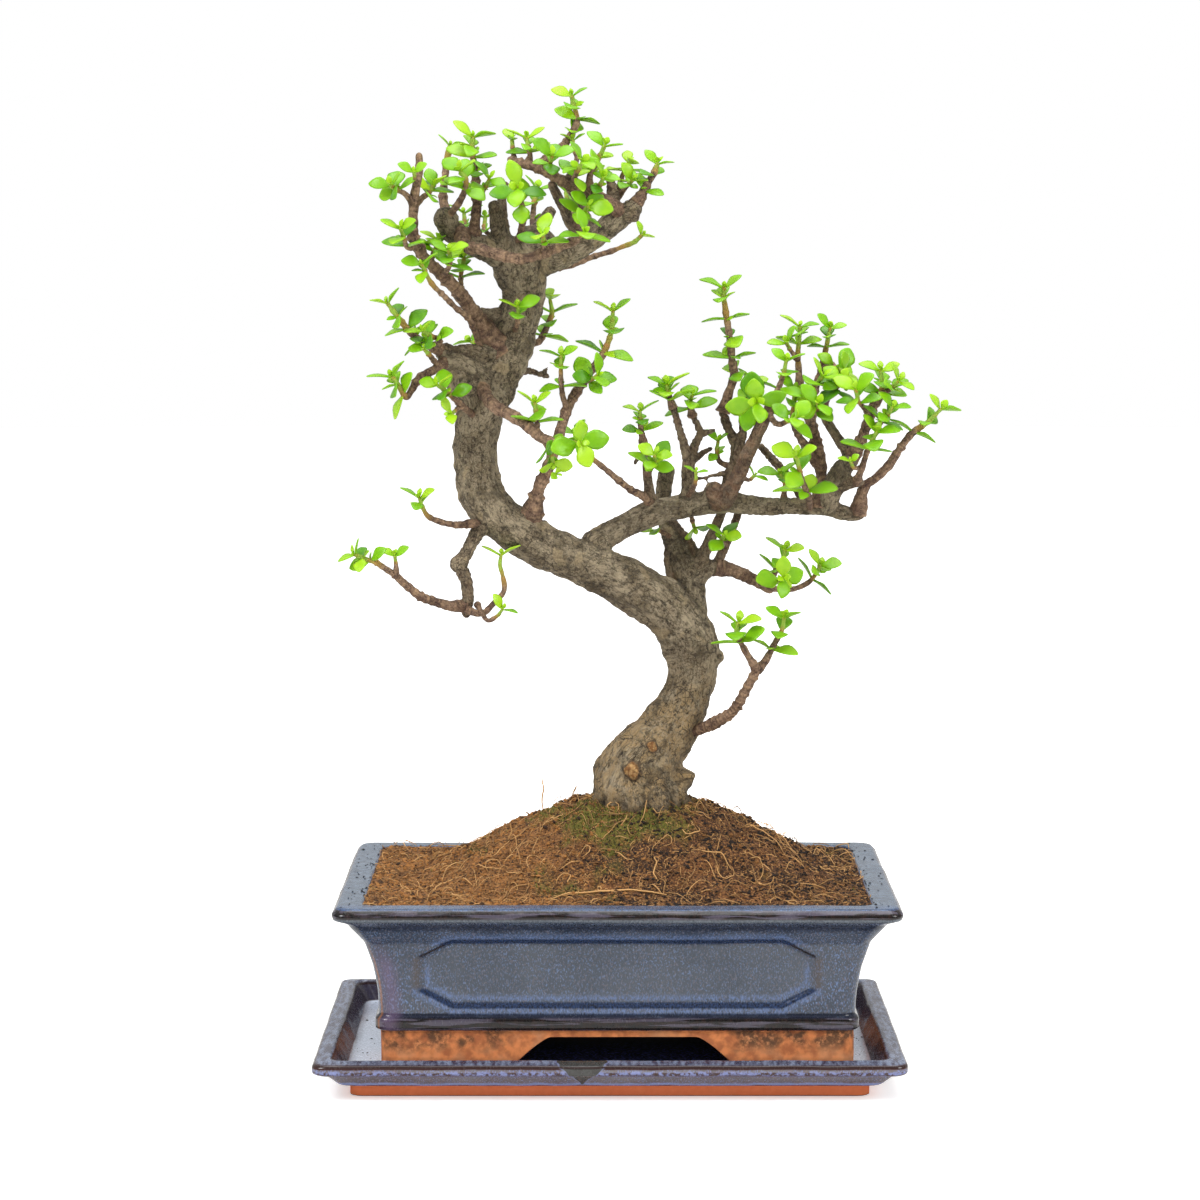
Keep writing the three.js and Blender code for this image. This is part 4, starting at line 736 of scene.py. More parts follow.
def make_soil_finish():
    """Brown peat, paler to the left as painted light from that side, with pale and dark specks, and green
    under moss.
    """
    material, tree, shader = new_material("soil_finish", Roughness=0.95)
    at = object_places(tree)
    colour = blend(patches(at, 0.05, 6.0, 0.35, 0.65), "3a2413", "6b4322")
    # Painted light: paler towards the left, where the light falls.
    colour = tint(colour, fall(axes(at)["X"], -60.0, 10.0), 0.6, "8f6134")
    fine = grain(at, 1.1, 5.0)
    colour = blend(rise(fine, 0.52, 0.64), colour, "9a6c3a")
    colour = blend(rise(opposite(fine), 0.53, 0.64), colour, "170d07")
    moss = blend(fine, "3c3c12", "7c7a2c")
    colour = tint(colour, value_of(tree, "moss"), 0.8, moss)
    dress(shader, colour, grain(at, 0.9, 6.0), 1.0)
    return material


def make_soil():
    """Loops up the inside of the pot's wall, then over the mound to its middle."""
    stations = round_rectangle(soil["half"], soil["half"] - pot_narrower, pot_corner, 1.6)
    walls = np.array([(99.7, soil["floor"]), (106.7, 62), (111.6, 76), (soil["half"], 88.2)])
    wall = level_loops(stations, *walls.T, pot_narrower, pot_corner) + (pot_shift, 0, 0)
    centre = np.array([*soil["centre"], 0.0])
    share = np.linspace(1, 0.06, 68)[:, None, None]
    top = wall[-1] * (1, 1, 0) * share + centre * (1 - share)
    top[..., 2] = soil_surface(top[..., 0], top[..., 1])
    base = wall[0] * (0.03, 0.03, 1) + (pot_shift, 0, 0)
    whole = np.concatenate([base[None], wall, top])
    moss = np.where(whole[..., 2] > 80, moss_share(whole[..., 0], whole[..., 1]), 0)
    return new_mesh("soil_mound", skin(whole), make_soil_finish(), moss=skin_values(moss))


place(make_soil(), "soil", "soil")


def many_faces(faces, points_each, count):
    """The faces of one small surface for each of many that lie in a row."""
    start = points_each * np.arange(count)[:, None, None]
    return [(face + start).reshape(-1, face.shape[1]) for face in faces]


def chips(at, size, rng):
    """A crumb round each place: a flat-faced chip of eight faces, longer one way than another."""
    corners = np.array([(1, 0, 0), (0, 1, 0), (-1, 0, 0), (0, -1, 0), (0, 0, 1), (0, 0, -1)], float)
    faces = np.array([(k, (k + 1) % 4, 4) for k in range(4)] + [((k + 1) % 4, k, 5) for k in range(4)])
    count = len(at)
    shaped = corners * rng.uniform(0.45, 1.5, (count, 1, 3)) + rng.normal(0, 0.16, (count, 6, 3))
    spin = rng.uniform(0, 2 * np.pi, count)
    cos, sin, flat = np.cos(spin), np.sin(spin), np.zeros(count)
    turn = np.stack([cos, -sin, flat, sin, cos, flat, flat, flat, flat + 0.7], axis=-1).reshape(-1, 3, 3)
    points = at[:, None] + size[:, None, None] * np.einsum("nij,nkj->nki", turn, shaped)
    return points.reshape(-1, 3), many_faces([faces], 6, count)


def unit(vectors):
    return vectors / np.linalg.norm(vectors, axis=-1, keepdims=True)


def evenly(values, share):
    """The value at shares of a way along which the values are spread evenly."""
    return np.interp(share, np.linspace(0, 1, len(values)), values)


def strands(paths, radius, sides=3):
    """A thin tube along each path, round in section and pointed at both ends. A path lies more or
    less level, so each section stands on the level direction across it."""
    count, steps = paths.shape[:2]
    along = np.gradient(paths, axis=1)
    level = unit(np.cross(along, (0, 0, 1)) + (1e-6, 0, 0))
    other = unit(np.cross(level, along))
    taper = np.sqrt(np.sin(np.linspace(0.12, np.pi - 0.12, steps)))
    turn = np.linspace(0, 2 * np.pi, sides, endpoint=False)
    reach = (radius[:, None] * taper)[..., None, None]
    ring = np.cos(turn)[:, None] * level[:, :, None] - np.sin(turn)[:, None] * other[:, :, None]
    loops = (paths[:, :, None] + reach * ring).reshape(count, -1, 3)
    points = np.concatenate([loops, paths[:, :1], paths[:, -1:]], axis=1)
    _, faces = skin(np.zeros((steps, sides, 3)))
    return points.reshape(-1, 3), many_faces(faces, points.shape[1], count)


def make_litter_finish(name, dark, light, rough=0.9):
    """From dark to light by each bit's own tone with fine noise on it."""
    material, tree, shader = new_material(name, Roughness=rough)
    at = object_places(tree)
    fine = times(grain(at, 1.2, 3.0), 0.5)
    tone = calculate("ADD", value_of(tree, "tone"), fine)
    colour = blend(rise(tone, 0.2, 1.2), dark, light)
    dress(shader, colour, grain(at, 2.5, 3.0), 0.6)
    return material


def on_mound(rng, count):
    """Random places on the soil, x and y."""
    share = rng.uniform(-1, 1, (count, 2))
    return share[:, 0] * (soil["half"] - 0.5) + pot_shift, share[:, 1] * (soil["half"] - pot_narrower - 0.5)


def on_ledges(rng, count):
    """Places of stray crumbs: on the ends of the pot's rim and on the tray's floor beside it."""
    side = rng.choice([-1, 1], count, p=[0.45, 0.55])
    y = rng.uniform(-1, 1, count)
    is_low = rng.uniform(0, 1, count) < 0.35
    rim_x = side * (117.5 + 9 * rng.uniform(0, 1, count) ** 2) + pot_shift
    tray_x = side * rng.uniform(112, 121, count) + np.where(side > 0, 3.0, 0.5)
    x = np.where(is_low, tray_x, rim_x)
    return np.column_stack([x, np.where(is_low, y * 70, y * 88), np.where(is_low, 9.1, 89.0)])


def make_crumbs():
    rng = np.random.default_rng(5)
    x, y = on_mound(rng, 17000)
    size = rng.uniform(0.3, 1.0, len(x)) ** 3 * 0.95 + 0.25
    at = np.column_stack([x, y, soil_surface(x, y) + 0.2 * size])
    stray = on_ledges(rng, 170)
    stray_size = rng.uniform(0.25, 0.75, len(stray))
    surface = chips(np.concatenate([at, stray]), np.concatenate([size, stray_size]), rng)
    # Painted light: crumbs paler to the left and darker to the right.
    painted_light_left = np.clip(-x / 80, -0.35, 0.4)
    tone = np.repeat(np.append(rng.uniform(-0.3, 0.9, len(x)) + painted_light_left, np.full(len(stray), -0.5)), 6)
    finish = make_litter_finish("crumb_finish", "180d06", "a06c36")
    made = new_mesh("soil_crumbs", surface, finish, tone=tone)
    made.data.shade_flat()
    return made


def curled(rng, count, steps, length, curl, height):
    """Paths that lie on the soil and turn steadily; their middles arch up off it."""
    x, y = on_mound(rng, count)
    run = rng.uniform(*length, count)
    bend = np.linspace(-1, 1, steps) * rng.normal(0, curl, (count, 1))
    heading = rng.uniform(0, 2 * np.pi, count)[:, None] + bend
    stride = (run / steps)[:, None]
    x = x[:, None] + np.cumsum(np.cos(heading), axis=1) * stride
    y = y[:, None] + np.cumsum(np.sin(heading), axis=1) * stride
    x = np.clip(x, pot_shift - soil["half"], pot_shift + soil["half"])
    y = np.clip(y, pot_narrower - soil["half"], soil["half"] - pot_narrower)
    arch = np.sin(np.linspace(0, np.pi, steps)) * rng.uniform(0.1, 1, (count, 1)) ** 2 * height
    return np.stack([x, y, soil_surface(x, y) + arch], axis=-1)


# Roots and stalks that can be told apart: places along each as x, y and height over the soil, and
# its thickness and tone.
single_strands = [
    ([(-30, -71, 0.3), (-20, -67, 0.7), (-6, -66, 0.9), (8, -66.5, 1.1), (20, -67, 0.8),
      (27, -69, 0.2)], 1.0, 0.9),
    ([(-32, 8, -1), (-32.5, 8, 5), (-31.8, 8, 11), (-32.6, 8, 17.5)], 0.8, 0.9),
    ([(-48, -20, 0), (-46, -22, 5), (-47, -24, 11)], 0.7, 0.8),
    ([(62, -14, 0), (66, -16, 4.5), (72, -18, 5.5), (79, -20, 3), (83, -21, -0.5)], 0.5, 0.9),
    ([(66, -10, 0), (70, -14, 7), (77, -17, 8), (84, -19, 1)], 0.45, 1.0),
    ([(20, -46, 0), (22, -51, 1.5), (20, -57, 1.2), (24, -62, 0)], 0.6, 1.0),
    ([(40, -40, 0), (45, -46, 2.5), (52, -45, 3), (57, -49, 0)], 0.6, 0.9),
]


def make_rootlets():
    """Short fibres of peat, curly rootlets and the single roots and stalks, as thin tubes."""
    rng = np.random.default_rng(8)
    surfaces, tones = [], []
    for count, steps, length, curl, height, thick, tone in (
        (6000, 4, (2, 8), 0.8, 0.8, (0.1, 0.25), (-0.4, 0.9)),
        (600, 9, (7, 22), 1.5, 4.5, (0.14, 0.34), (0.2, 1.2)),
    ):
        paths = curled(rng, count, steps, length, curl, height)
        surfaces.append(strands(paths, rng.uniform(*thick, count)))
        tones.append(np.repeat(rng.uniform(*tone, count), 3 * steps + 2))
    share = np.linspace(0, 1, 24)
    for places, thick, tone in single_strands:
        places = np.array(places, float)
        places[:, 2] += soil_surface(places[:, 0], places[:, 1])
        path = np.stack([evenly(column, share) for column in places.T], axis=-1)
        path = path + 0.35 * np.stack([noise(path, 3.5, seed) for seed in (51, 52, 53)], axis=-1)
        surfaces.append(strands(path[None], np.array([thick / 2]), 5))
        tones.append(np.full(5 * len(share) + 2, tone))
    finish = make_litter_finish("rootlet_finish", "4e2f14", "d3a266", 0.8)
    return new_mesh("soil_rootlets", join(surfaces), finish, tone=np.concatenate(tones))


def make_moss():
    """Moss as thousands of tiny pointed leaves, each a slim three-sided cone that leans a bit."""
    rng = np.random.default_rng(13)
    x, y = on_mound(rng, 30000)
    grows = rng.uniform(0, 1, len(x)) < moss_share(x, y) ** 1.5
    x, y = x[grows], y[grows]
    tall = rng.uniform(0.8, 2.0, len(x))
    turn = rng.uniform(0, 2 * np.pi, (len(x), 1)) + np.arange(3) * 2 * np.pi / 3
    foot = np.column_stack([x, y, soil_surface(x, y) - 0.3])
    ring = foot[:, None] + 0.36 * np.stack([np.cos(turn), np.sin(turn), 0 * turn], axis=-1)
    tip = foot + np.column_stack([rng.normal(0, 0.6, (len(x), 2)), tall + 0.3])
    points = np.concatenate([ring, tip[:, None]], axis=1)
    faces = many_faces([np.array([(0, 2, 1), (0, 1, 3), (1, 2, 3), (2, 0, 3)])], 4, len(x))
    tone = np.repeat(rng.uniform(0, 1, len(x)), 4)
    finish = make_litter_finish("moss_finish", "2c2c0c", "7c7a2c")
    return new_mesh("soil_moss", (points.reshape(-1, 3), faces), finish, tone=tone)


for piece in (make_crumbs(), make_rootlets(), make_moss()):
    place(piece, "soil")

# The tree's own wood: the trunk, which rises, swings left and turns up again, and the limbs that
# grew out of it, all one body. The bark is grey-brown, finely cracked and ringed where it bends.
# Each limb: places along it in the photograph, and its thicknesses spread evenly along it, in mm.
limbs = {
    "trunk":  ([(638, 890, 3), (639, 862, 3), (639, 830, 3), (638, 800, 3), (640, 775, 3), (651, 753, 4),
        (666, 734, 5), (680, 711, 6), (689, 685, 7), (692, 657, 8), (683, 630, 6), (656, 602, 2),
        (613, 577, -3), (578, 562, -6), (545, 547, -9), (518, 532, -12), (494, 512, -14), (481, 494, -14),
        (477, 468, -12), (477, 436, -10), (481, 408, -8), (487, 388, -4), (497, 371, -3), (507, 350, -2),
        (515, 330, 0), (522, 308, 2), (524, 290, 2), (522, 271, 0), (517, 252, -2)], [48, 50, 49, 45, 41,
        33.5, 27, 24, 23, 25.5, 26, 25, 21.5, 20, 20, 21, 21.5, 20.5, 20, 21.4, 23, 27, 24, 23, 21, 19,
        19.5, 25, 26]),
    "top_right":  ([(520, 272, 0), (545, 262, -3), (570, 251, -6), (592, 239, -9), (612, 224, -12),
        (636, 205, -15)], [14, 13, 12, 11, 11, 9]),
    "top_right_stub":  ([(616, 222, -12), (614, 198, -9), (611, 183, -8), (609, 174, -6)], [7, 4]),
    "top_right_knob":  ([(622, 214, -14), (636, 217, -18)], [8, 6]),
    "top_left":  ([(516, 260, -2), (492, 251, -9), (470, 243, -14), (452, 231, -16), (446, 219, -18)], [15,
        12, 10.5, 11, 10]),
    "top_left_stub":  ([(502, 250, -6), (498, 224, -10), (494, 203, -12)], [9, 8, 6.5]),
    "top_middle_stub":  ([(508, 252, 0), (502, 222, 3), (502, 200, 4), (505, 183, 6)], [7, 4.4]),
    "top_middle":  ([(522, 258, 3), (536, 236, 6), (545, 220, 9), (551, 210, 12)], [12, 9, 7, 6]),
    "inner_back":  ([(592, 238, -7), (588, 220, 9), (580, 203, 15), (568, 188, 20)], [6, 3.6]),
    "inner_front":  ([(590, 242, -10), (573, 227, -16), (562, 205, -21), (551, 183, -24)], [7, 4.8]),
    "left_middle":  ([(502, 350, -6), (485, 352, -14), (468, 352, -18), (454, 354, -21), (443, 352, -22)],
        [9, 6.4]),
    "left_middle_low":  ([(486, 388, -9), (470, 374, -16), (457, 364, -21), (445, 361, -24)], [16, 8]),
    "left_stub":  ([(513, 319, 0), (496, 316, -2), (483, 316, -4)], [9, 6.4]),
    "right_stub":  ([(518, 372, 3), (530, 371, 15), (541, 375, 21), (549, 377, 24)], [4, 2.6]),
    "right_stub_fork":  ([(540, 375, 21), (548, 367, 24)], [2.8, 2.4]),
    "right_main":  ([(590, 560, -3), (600, 541, -2), (620, 529, 0), (650, 514, 3), (680, 507, 6),
        (717, 502, 9), (757, 506, 10), (800, 506, 9), (828, 509, 8), (848, 514, 6), (862, 514, 6)], [13,
        12.6, 12, 12, 12, 11, 9.3, 8.2, 7.5, 8, 6]),
    "secondary":  ([(688, 640, 8), (694, 612, 14), (692, 585, 18), (682, 560, 21), (674, 540, 24),
        (667, 522, 27), (663, 505, 30), (664, 487, 30), (668, 468, 30)], [14, 13, 12.3, 11.8, 11, 9, 8, 8,
        7.5]),
    "link_right":  ([(714, 568, 20), (722, 553, 21), (728, 540, 22), (734, 525, 24), (740, 508, 20)], [5.4,
        4.2]),
    "link_middle":  ([(697, 578, 18), (705, 552, 18), (713, 533, 16), (722, 512, 14)], [7, 5]),
    "link_left":  ([(699, 574, 20), (692, 548, 21), (683, 535, 22), (671, 522, 24)], [5.6, 4.4]),
    "link_base":  ([(694, 584, 16), (706, 571, 18), (718, 566, 20)], [8.4, 6.8]),
    "hanging_stub":  ([(672, 538, 22), (667, 556, 20), (671, 580, 18)], [4, 4]),
    "first_upright":  ([(652, 507, 3), (648, 481, 2), (646, 463, 0), (643, 439, -2)], [6, 3.4]),
    "first_upright_stub":  ([(646, 458, 0), (640, 456, -3), (634, 464, -4)], [2.8, 2.6]),
    "second_upright":  ([(687, 508, 6), (688, 480, 4), (688, 458, 3)], [7.4, 6]),
    "second_left":  ([(688, 462, 3), (683, 441, 0), (678, 424, -2), (672, 404, -3)], [5, 3.2]),
    "second_right":  ([(688, 462, 3), (695, 445, 6), (700, 434, 8), (696, 422, 8), (691, 412, 8)], [5,
        3.2]),
    "second_stub":  ([(699, 435, 8), (715, 430, 10)], [3.2, 2.8]),
    "second_low_stub":  ([(690, 464, 4), (700, 455, 9), (712, 448, 14)], [4.2, 3]),
    "third_upright":  ([(724, 502, 12), (729, 480, 14), (735, 460, 15), (735, 445, 15), (728, 428, 15),
        (722, 410, 16)], [6.6, 4.4]),
    "third_fork":  ([(736, 460, 14), (743, 432, 12), (741, 406, 10)], [5, 4]),
    "third_side_twig":  ([(729, 472, 14), (712, 476, 8), (697, 479, 3)], [2.8, 2.2]),
    "red_upright":  ([(720, 504, 3), (734, 484, -3), (743, 464, -8), (754, 441, -12), (766, 416, -15),
        (772, 402, -16)], [9.5, 7.6, 7, 6.8, 6, 5]),
    "back_diagonal":  ([(806, 506, 10), (795, 486, 22), (778, 465, 27), (760, 446, 30)], [5.2, 4]),
    "right_burl":  ([(828, 506, 6), (833, 488, 2), (842, 470, 0), (853, 456, 2)], [9, 11, 10, 7.5]),
    "right_burl_stub":  ([(836, 488, 0), (850, 484, -3), (862, 481, -4)], [7, 5]),
    "inner_right":  ([(853, 458, 3), (840, 441, 6), (830, 426, 9), (822, 411, 12)], [6, 4.2]),
    "low_left":  ([(490, 518, -15), (478, 532, -21), (467, 552, -26), (460, 564, -27), (466, 580, -27),
        (468, 598, -26), (466, 616, -24)], [10, 7.6, 6.4, 7, 6, 5.8, 4.4]),
}
# Swellings on the wood: a place in the photograph and a radius.
burls = {
    "base_left": ((610, 759, 0), 4.4),
    "base_right": ((682, 779, 2), 5.6),
    "base_scar": ((633, 771, -16), 5),
    "cut_knob": ((594, 540, -4), 5.4),
    "limb_scar": ((714, 492, 3), 5.2),
    "whorl": ((468, 380, -14), 10.5),
    "whorl_low": ((489, 403, -15), 9),
    "left_knob": ((482, 316, -4), 4.2),
    "crown_head": ((535, 250, 0), 11.5),
    "top_left_knob": ((447, 219, -18), 6),
    "middle_left_knob": ((444, 352, -22), 4.4),
    "low_knob": ((457, 564, -28), 4),
    "right_knob": ((716, 657, 6), 3.6),
}
step_along = 1.1
bark_fineness = 1.05
# Where branches were cut off: a place on the bark's face, and the cut's radius.
cuts = [((633, 771, -20), 3.6), ((652, 747, -13), 2.2)]
# The roots: the turn round the trunk's foot in radians, the reach and the thickness.
roots = [
    (-2.75, 30, 13), (-2.0, 27, 15), (-1.2, 31, 14), (-0.35, 28, 15), (0.6, 30, 12), (1.7, 31, 13),
    (2.6, 30, 12),
]
# How far a limb's bark is still the red-brown of a young stem.
redness = {
    "red_upright": 1.0, "third_upright": 0.5, "link_right": 0.8, "first_upright": 0.5, "third_fork": 0.6,
}


def smooth_place(points, share):
    """Places at shares of a smooth curve through the points: between two of them a cubic, whose
    direction at each is half the way from the point before it to the point after it."""
    points = np.asarray(points, float)
    before = 2 * points[0] - points[1]
    after = 2 * points[-1] - points[-2]
    held = np.vstack([before, points, after])
    place = np.clip(np.asarray(share, float), 0, 1) * (len(points) - 1)
    start = np.minimum(place.astype(int), len(points) - 2)
    t = (place - start)[..., None]
    a, b, c, d = (held[start + k] for k in range(4))
    slope_b, slope_c = (c - a) / 2, (d - b) / 2
    return (
        b + slope_b * t + (3 * (c - b) - 2 * slope_b - slope_c) * t**2
        + (2 * (b - c) + slope_b + slope_c) * t**3
    )


def direction(points, share):
    share = np.asarray(share)
    return unit(smooth_place(points, share + 1e-4) - smooth_place(points, share - 1e-4))


def run_length(points):
    return np.linalg.norm(np.diff(smooth_place(points, np.linspace(0, 1, 201)), axis=0), axis=1).sum()


def frames(along):
    """For each direction along a path, one to its side and one across both, turned as little as
    can be from place to place."""
    side, sides = np.array([0.0, 1.0, 0.0]), []
    if abs(along[0] @ side) > 0.9:
        side = np.array([1.0, 0.0, 0.0])
    for one in along:
        side = side - one * (side @ one)
        side = side / np.linalg.norm(side)
        sides.append(side)
    sides = np.array(sides)
    return sides, np.cross(along, sides)


def stem_stations(points, thick, step):
    """Places, directions, frames, radii and lengths run so far, about a step apart on a stem."""
    share = np.linspace(0, 1, 2 + round(run_length(points) / step))
    at, along = smooth_place(points, share), direction(points, share)
    side, other = frames(along)
    run = np.append(0, np.cumsum(np.linalg.norm(np.diff(at, axis=0), axis=1)))
    return {"at": at, "along": along, "side": side, "other": other,
            "radius": evenly(thick, share) / 2, "run": run, "share": share}


def round_loops(stations, radius, sides):
    """Loops of so many sides round the stations, at a radius that may differ all over."""
    turn = np.linspace(0, 2 * np.pi, sides, endpoint=False)
    across, up = stations["side"][:, None], stations["other"][:, None]
    ring = np.cos(turn)[:, None] * across + np.sin(turn)[:, None] * up
    return stations["at"][:, None] + radius[..., None] * ring


def blunt(stations, loops, radius, depth=0.5):
    """The loops with three smaller ones past their far end, which round it off."""
    caps = []
    for share in (0.5, 0.85, 1.0):
        centre = stations["at"][-1] + stations["along"][-1] * radius[-1].mean() * depth * share
        size = math.sqrt(1 - 0.97 * share**2)
        caps.append(centre + (loops[-1] - stations["at"][-1]) * size)
    return np.concatenate([loops, np.array(caps)])


def ball(at, radius):
    """A closed ball as loops from its lowest to its highest point."""
    up = np.linspace(-np.pi / 2, np.pi / 2, 14)[1:-1, None, None]
    return skin(at + radius * (circle(18) * np.cos(up) + (0, 0, 1) * np.sin(up)))


limb_stations = {
    name: stem_stations(from_photo(route), thick, step_along) for name, (route, thick) in limbs.items()
}


def root_flares():
    """Low ridges where the roots leave the trunk's foot and dive into the soil: each starts a
    little over the mound, inside the foot, and ends under it."""
    flares = []
    for turn, reach, thick in roots:
        heading = np.array([math.cos(turn), 0.9 * math.sin(turn), 0])
        foot = np.array([*soil["centre"], 0.0])
        places = []
        for share, above in ((0.25, 12), (0.55, 3.5), (0.8, 0.2), (1.1, -5)):
            spot = foot + heading * reach * share
            spot[2] = soil_height(spot[0], spot[1]) + above - 0.25 * thick
            places.append(spot)
        taper = [thick * 1.15, thick, thick * 0.6, thick * 0.3]
        flares.append(stem_stations(np.array(places), taper, step_along))
    return flares


def nearest_stem(points, stations):
    """For each point the station whose surface is nearest, as an index into the stations joined
    in a row. It runs in slices to keep the tables small."""
    at = np.concatenate([one["at"] for one in stations])
    radius = np.concatenate([one["radius"] for one in stations])
    index = []
    for part in np.array_split(points, max(1, len(points) // 6000)):
        away = np.sqrt(np.maximum((part**2).sum(1)[:, None] + (at**2).sum(1) - 2 * part @ at.T, 0)) - radius
        index.append(away.argmin(axis=1))
    return np.concatenate(index)


def relax(points, edges, times, hold):
    """Moves each point towards the middle of its neighbours, a share of the way, so many times."""
    count = np.bincount(edges.ravel(), minlength=len(points))[:, None]
    for _ in range(times):
        total = np.zeros_like(points)
        for axis in range(3):
            total[:, axis] = np.bincount(edges[:, 0], points[edges[:, 1], axis], len(points))
            total[:, axis] += np.bincount(edges[:, 1], points[edges[:, 0], axis], len(points))
        points = points + hold * (total / count - points)
    return points


def bent_places(at):
    """The places pushed a little to bend straight cracks: by noise in three directions, up to
    1.5 mm."""
    push = node("TexNoise", {"Vector": at, "Scale": 0.35, "Detail": 3.0}, "Color")
    push = node("VectorMath", {0: push, 1: (0.5, 0.5, 0.5)}, operation="SUBTRACT")
    push = node("VectorMath", {0: push, 1: (3, 3, 3)}, operation="MULTIPLY")
    return node("VectorMath", {0: at, 1: push}, operation="ADD")


def make_bark_group():
    """Bark as a colour and a height: fine cracks along the stem, rings across it, and flakes. It
    reads places that follow the stem as if it were straight."""
    sockets = {"Straight": "Vector", "Bark": "Color", "Light": "Color", "Dark": "Color", "Rings": "Float"}
    group, given = new_group("bark", sockets)
    at, light, dark = given["Straight"], given["Light"], given["Dark"]
    clouds = grain(at, 0.12, 8.0, (1, 1, 0.7), rough=0.7)
    fibre = grain(at, 1.1, 4.0, (1, 1, 0.3))
    fleck = grain(at, 0.75, 6.0, rough=0.65)
    pits = grain(at, 0.4, 6.0, (1, 1, 0.8), rough=0.65)
    bent = bent_places(at)
    cracks = []
    for stretch, size, wide in (((1, 1, 0.35), 0.5, 0.07), ((0.4, 0.4, 1), 0.3, 0.05)):
        spread = node("VectorMath", {0: bent, 1: stretch}, operation="MULTIPLY")
        sockets = {"Vector": spread, "Scale": size}
        cells = node("TexVoronoi", sockets, "Distance", feature="DISTANCE_TO_EDGE")
        cracks.append(fall(cells, 0.0, wide))
    crack = calculate("MAXIMUM", *cracks)
    crack = times(crack, rise(fleck, 0.4, 0.52), fall(clouds, 0.42, 0.7))
    colour = blend(rise(clouds, 0.36, 0.64), given["Bark"], light)
    for share, most, other in (
        (rise(fibre, 0.48, 0.66), 0.4, dark), (rise(pits, 0.53, 0.63), 0.7, dark),
        (rise(fleck, 0.58, 0.66), 0.8, light), (crack, 0.75, dark), (given["Rings"], 0.4, dark),
    ):
        colour = tint(colour, share, most, other)
    height = calculate("ADD", times(fibre, 0.5), fleck)
    for hollow, deep in ((pits, 0.8), (crack, 0.6)):
        height = calculate("SUBTRACT", height, times(hollow, deep))
    return give_out(group, Color=colour, Height=height)


bark = make_bark_group()


def barked(tree, **colours):
    """The bark with its three colours, as its colour and height."""
    links = {"Straight": value_of(tree, "straight", "Vector"), "Rings": value_of(tree, "groove")}
    return in_group(tree, bark, links, **colours)


def make_trunk_finish():
    """Grey-brown bark with dark crusts and beige patches, tan low on the trunk, red-brown on young
    limbs and darker just above the soil, and cut wood with a dark rim where a branch was taken off."""
    material, tree, shader = new_material("bark_finish", Roughness=0.85)
    at = object_places(tree)
    colour, bumps = barked(tree, bark="84745a", light="ac9c80", dark="241a10")
    low = fall(axes(at)["Z"], 160.0, 200.0)
    tan = times(low, patches(at, 0.12, 6.0, 0.36, 0.56, rough=0.7), 0.65)
    colour = blend(times(tan, rise(bumps, 0.05, 0.4)), colour, "b0905f")
    crust = blend(patches(at, 0.7, 5.0, 0.4, 0.6), "241c12", "65563c")
    colour = tint(colour, patches(at, 0.07, 9.0, 0.52, 0.6, rough=0.65), 0.6, crust)
    colour = tint(colour, patches(at, 0.09, 5.0, 0.6, 0.65), 0.5, "b8a27c")
    young = blend(patches(at, 0.3, 5.0, 0.4, 0.62), "523529", "8a6248")
    colour = tint(colour, value_of(tree, "red"), 0.6, young)
    scar = waver(value_of(tree, "scar"), grain(at, 0.5, 4.0), 0.6)
    colour = tint(colour, rise(scar, 0.1, 0.35), 0.7, "3d2a1a")
    cut_wood = blend(patches(at, 0.6, 5.0, 0.35, 0.65), "8a5c30", "c49a62")
    colour = blend(rise(scar, 0.5, 0.75), colour, cut_wood)
    colour = tint(colour, fall(value_of(tree, "above_soil"), 0.5, 7.0), 0.6, "2c2118")
    dress(shader, colour, bumps, 1.0, distance=2.2 * millimetre)
    return material


def read(items, field, kind, wide):
    """A field of all of a mesh's items as an array, with so many numbers for each."""
    values = np.empty(wide * len(items), kind)
    items.foreach_get(field, values)
    return values.reshape(-1, wide)


def melted(surfaces):
    """The surfaces melted into one skin of small squares: its points, edges and faces."""
    rough, _, _ = new_material("rough_wood")
    made = new_mesh("rough_wood", join(surfaces), rough)
    melt = made.modifiers.new("melt", "REMESH")
    melt.mode = "VOXEL"
    melt.voxel_size = bark_fineness * millimetre
    mesh = evaluated(made).to_mesh()
    points = read(mesh.vertices, "co", np.float32, 3).astype(float) / millimetre
    edges = read(mesh.edges, "vertices", np.int32, 2)
    corners = read(mesh.loops, "vertex_index", np.int32, 1)[:, 0]
    sizes = read(mesh.polygons, "loop_total", np.int32, 1)[:, 0]
    starts = np.cumsum(sizes) - sizes
    faces = [corners[starts[sizes == n][:, None] + np.arange(n)] for n in np.unique(sizes)]
    bpy.data.objects.remove(made)
    return points, edges, faces


def cut_scars(points, out):
    """The points with the bark cut flat where branches were taken off, and how near each is to a
    cut: the flat faces the front, and its edge is ragged."""
    scar = np.zeros(len(points))
    for place_in_photo, radius in cuts:
        centre = from_photo([place_in_photo])[0]
        off = np.hypot(points[:, 0] - centre[0], points[:, 2] - centre[2]) / radius
        off = off + 0.35 * noise(points, 2.6, 46)
        near = (np.abs(points[:, 1] - centre[1]) < 2.2 * radius) & (out[:, 1] < 0.25)
        scar = np.maximum(scar, np.where(near, np.clip(1.55 - off, 0, 1), 0))
        flat = near & (off < 1.0)
        points[flat, 1] = np.maximum(points[flat, 1], centre[1] - 0.3 * radius)
    return points, scar


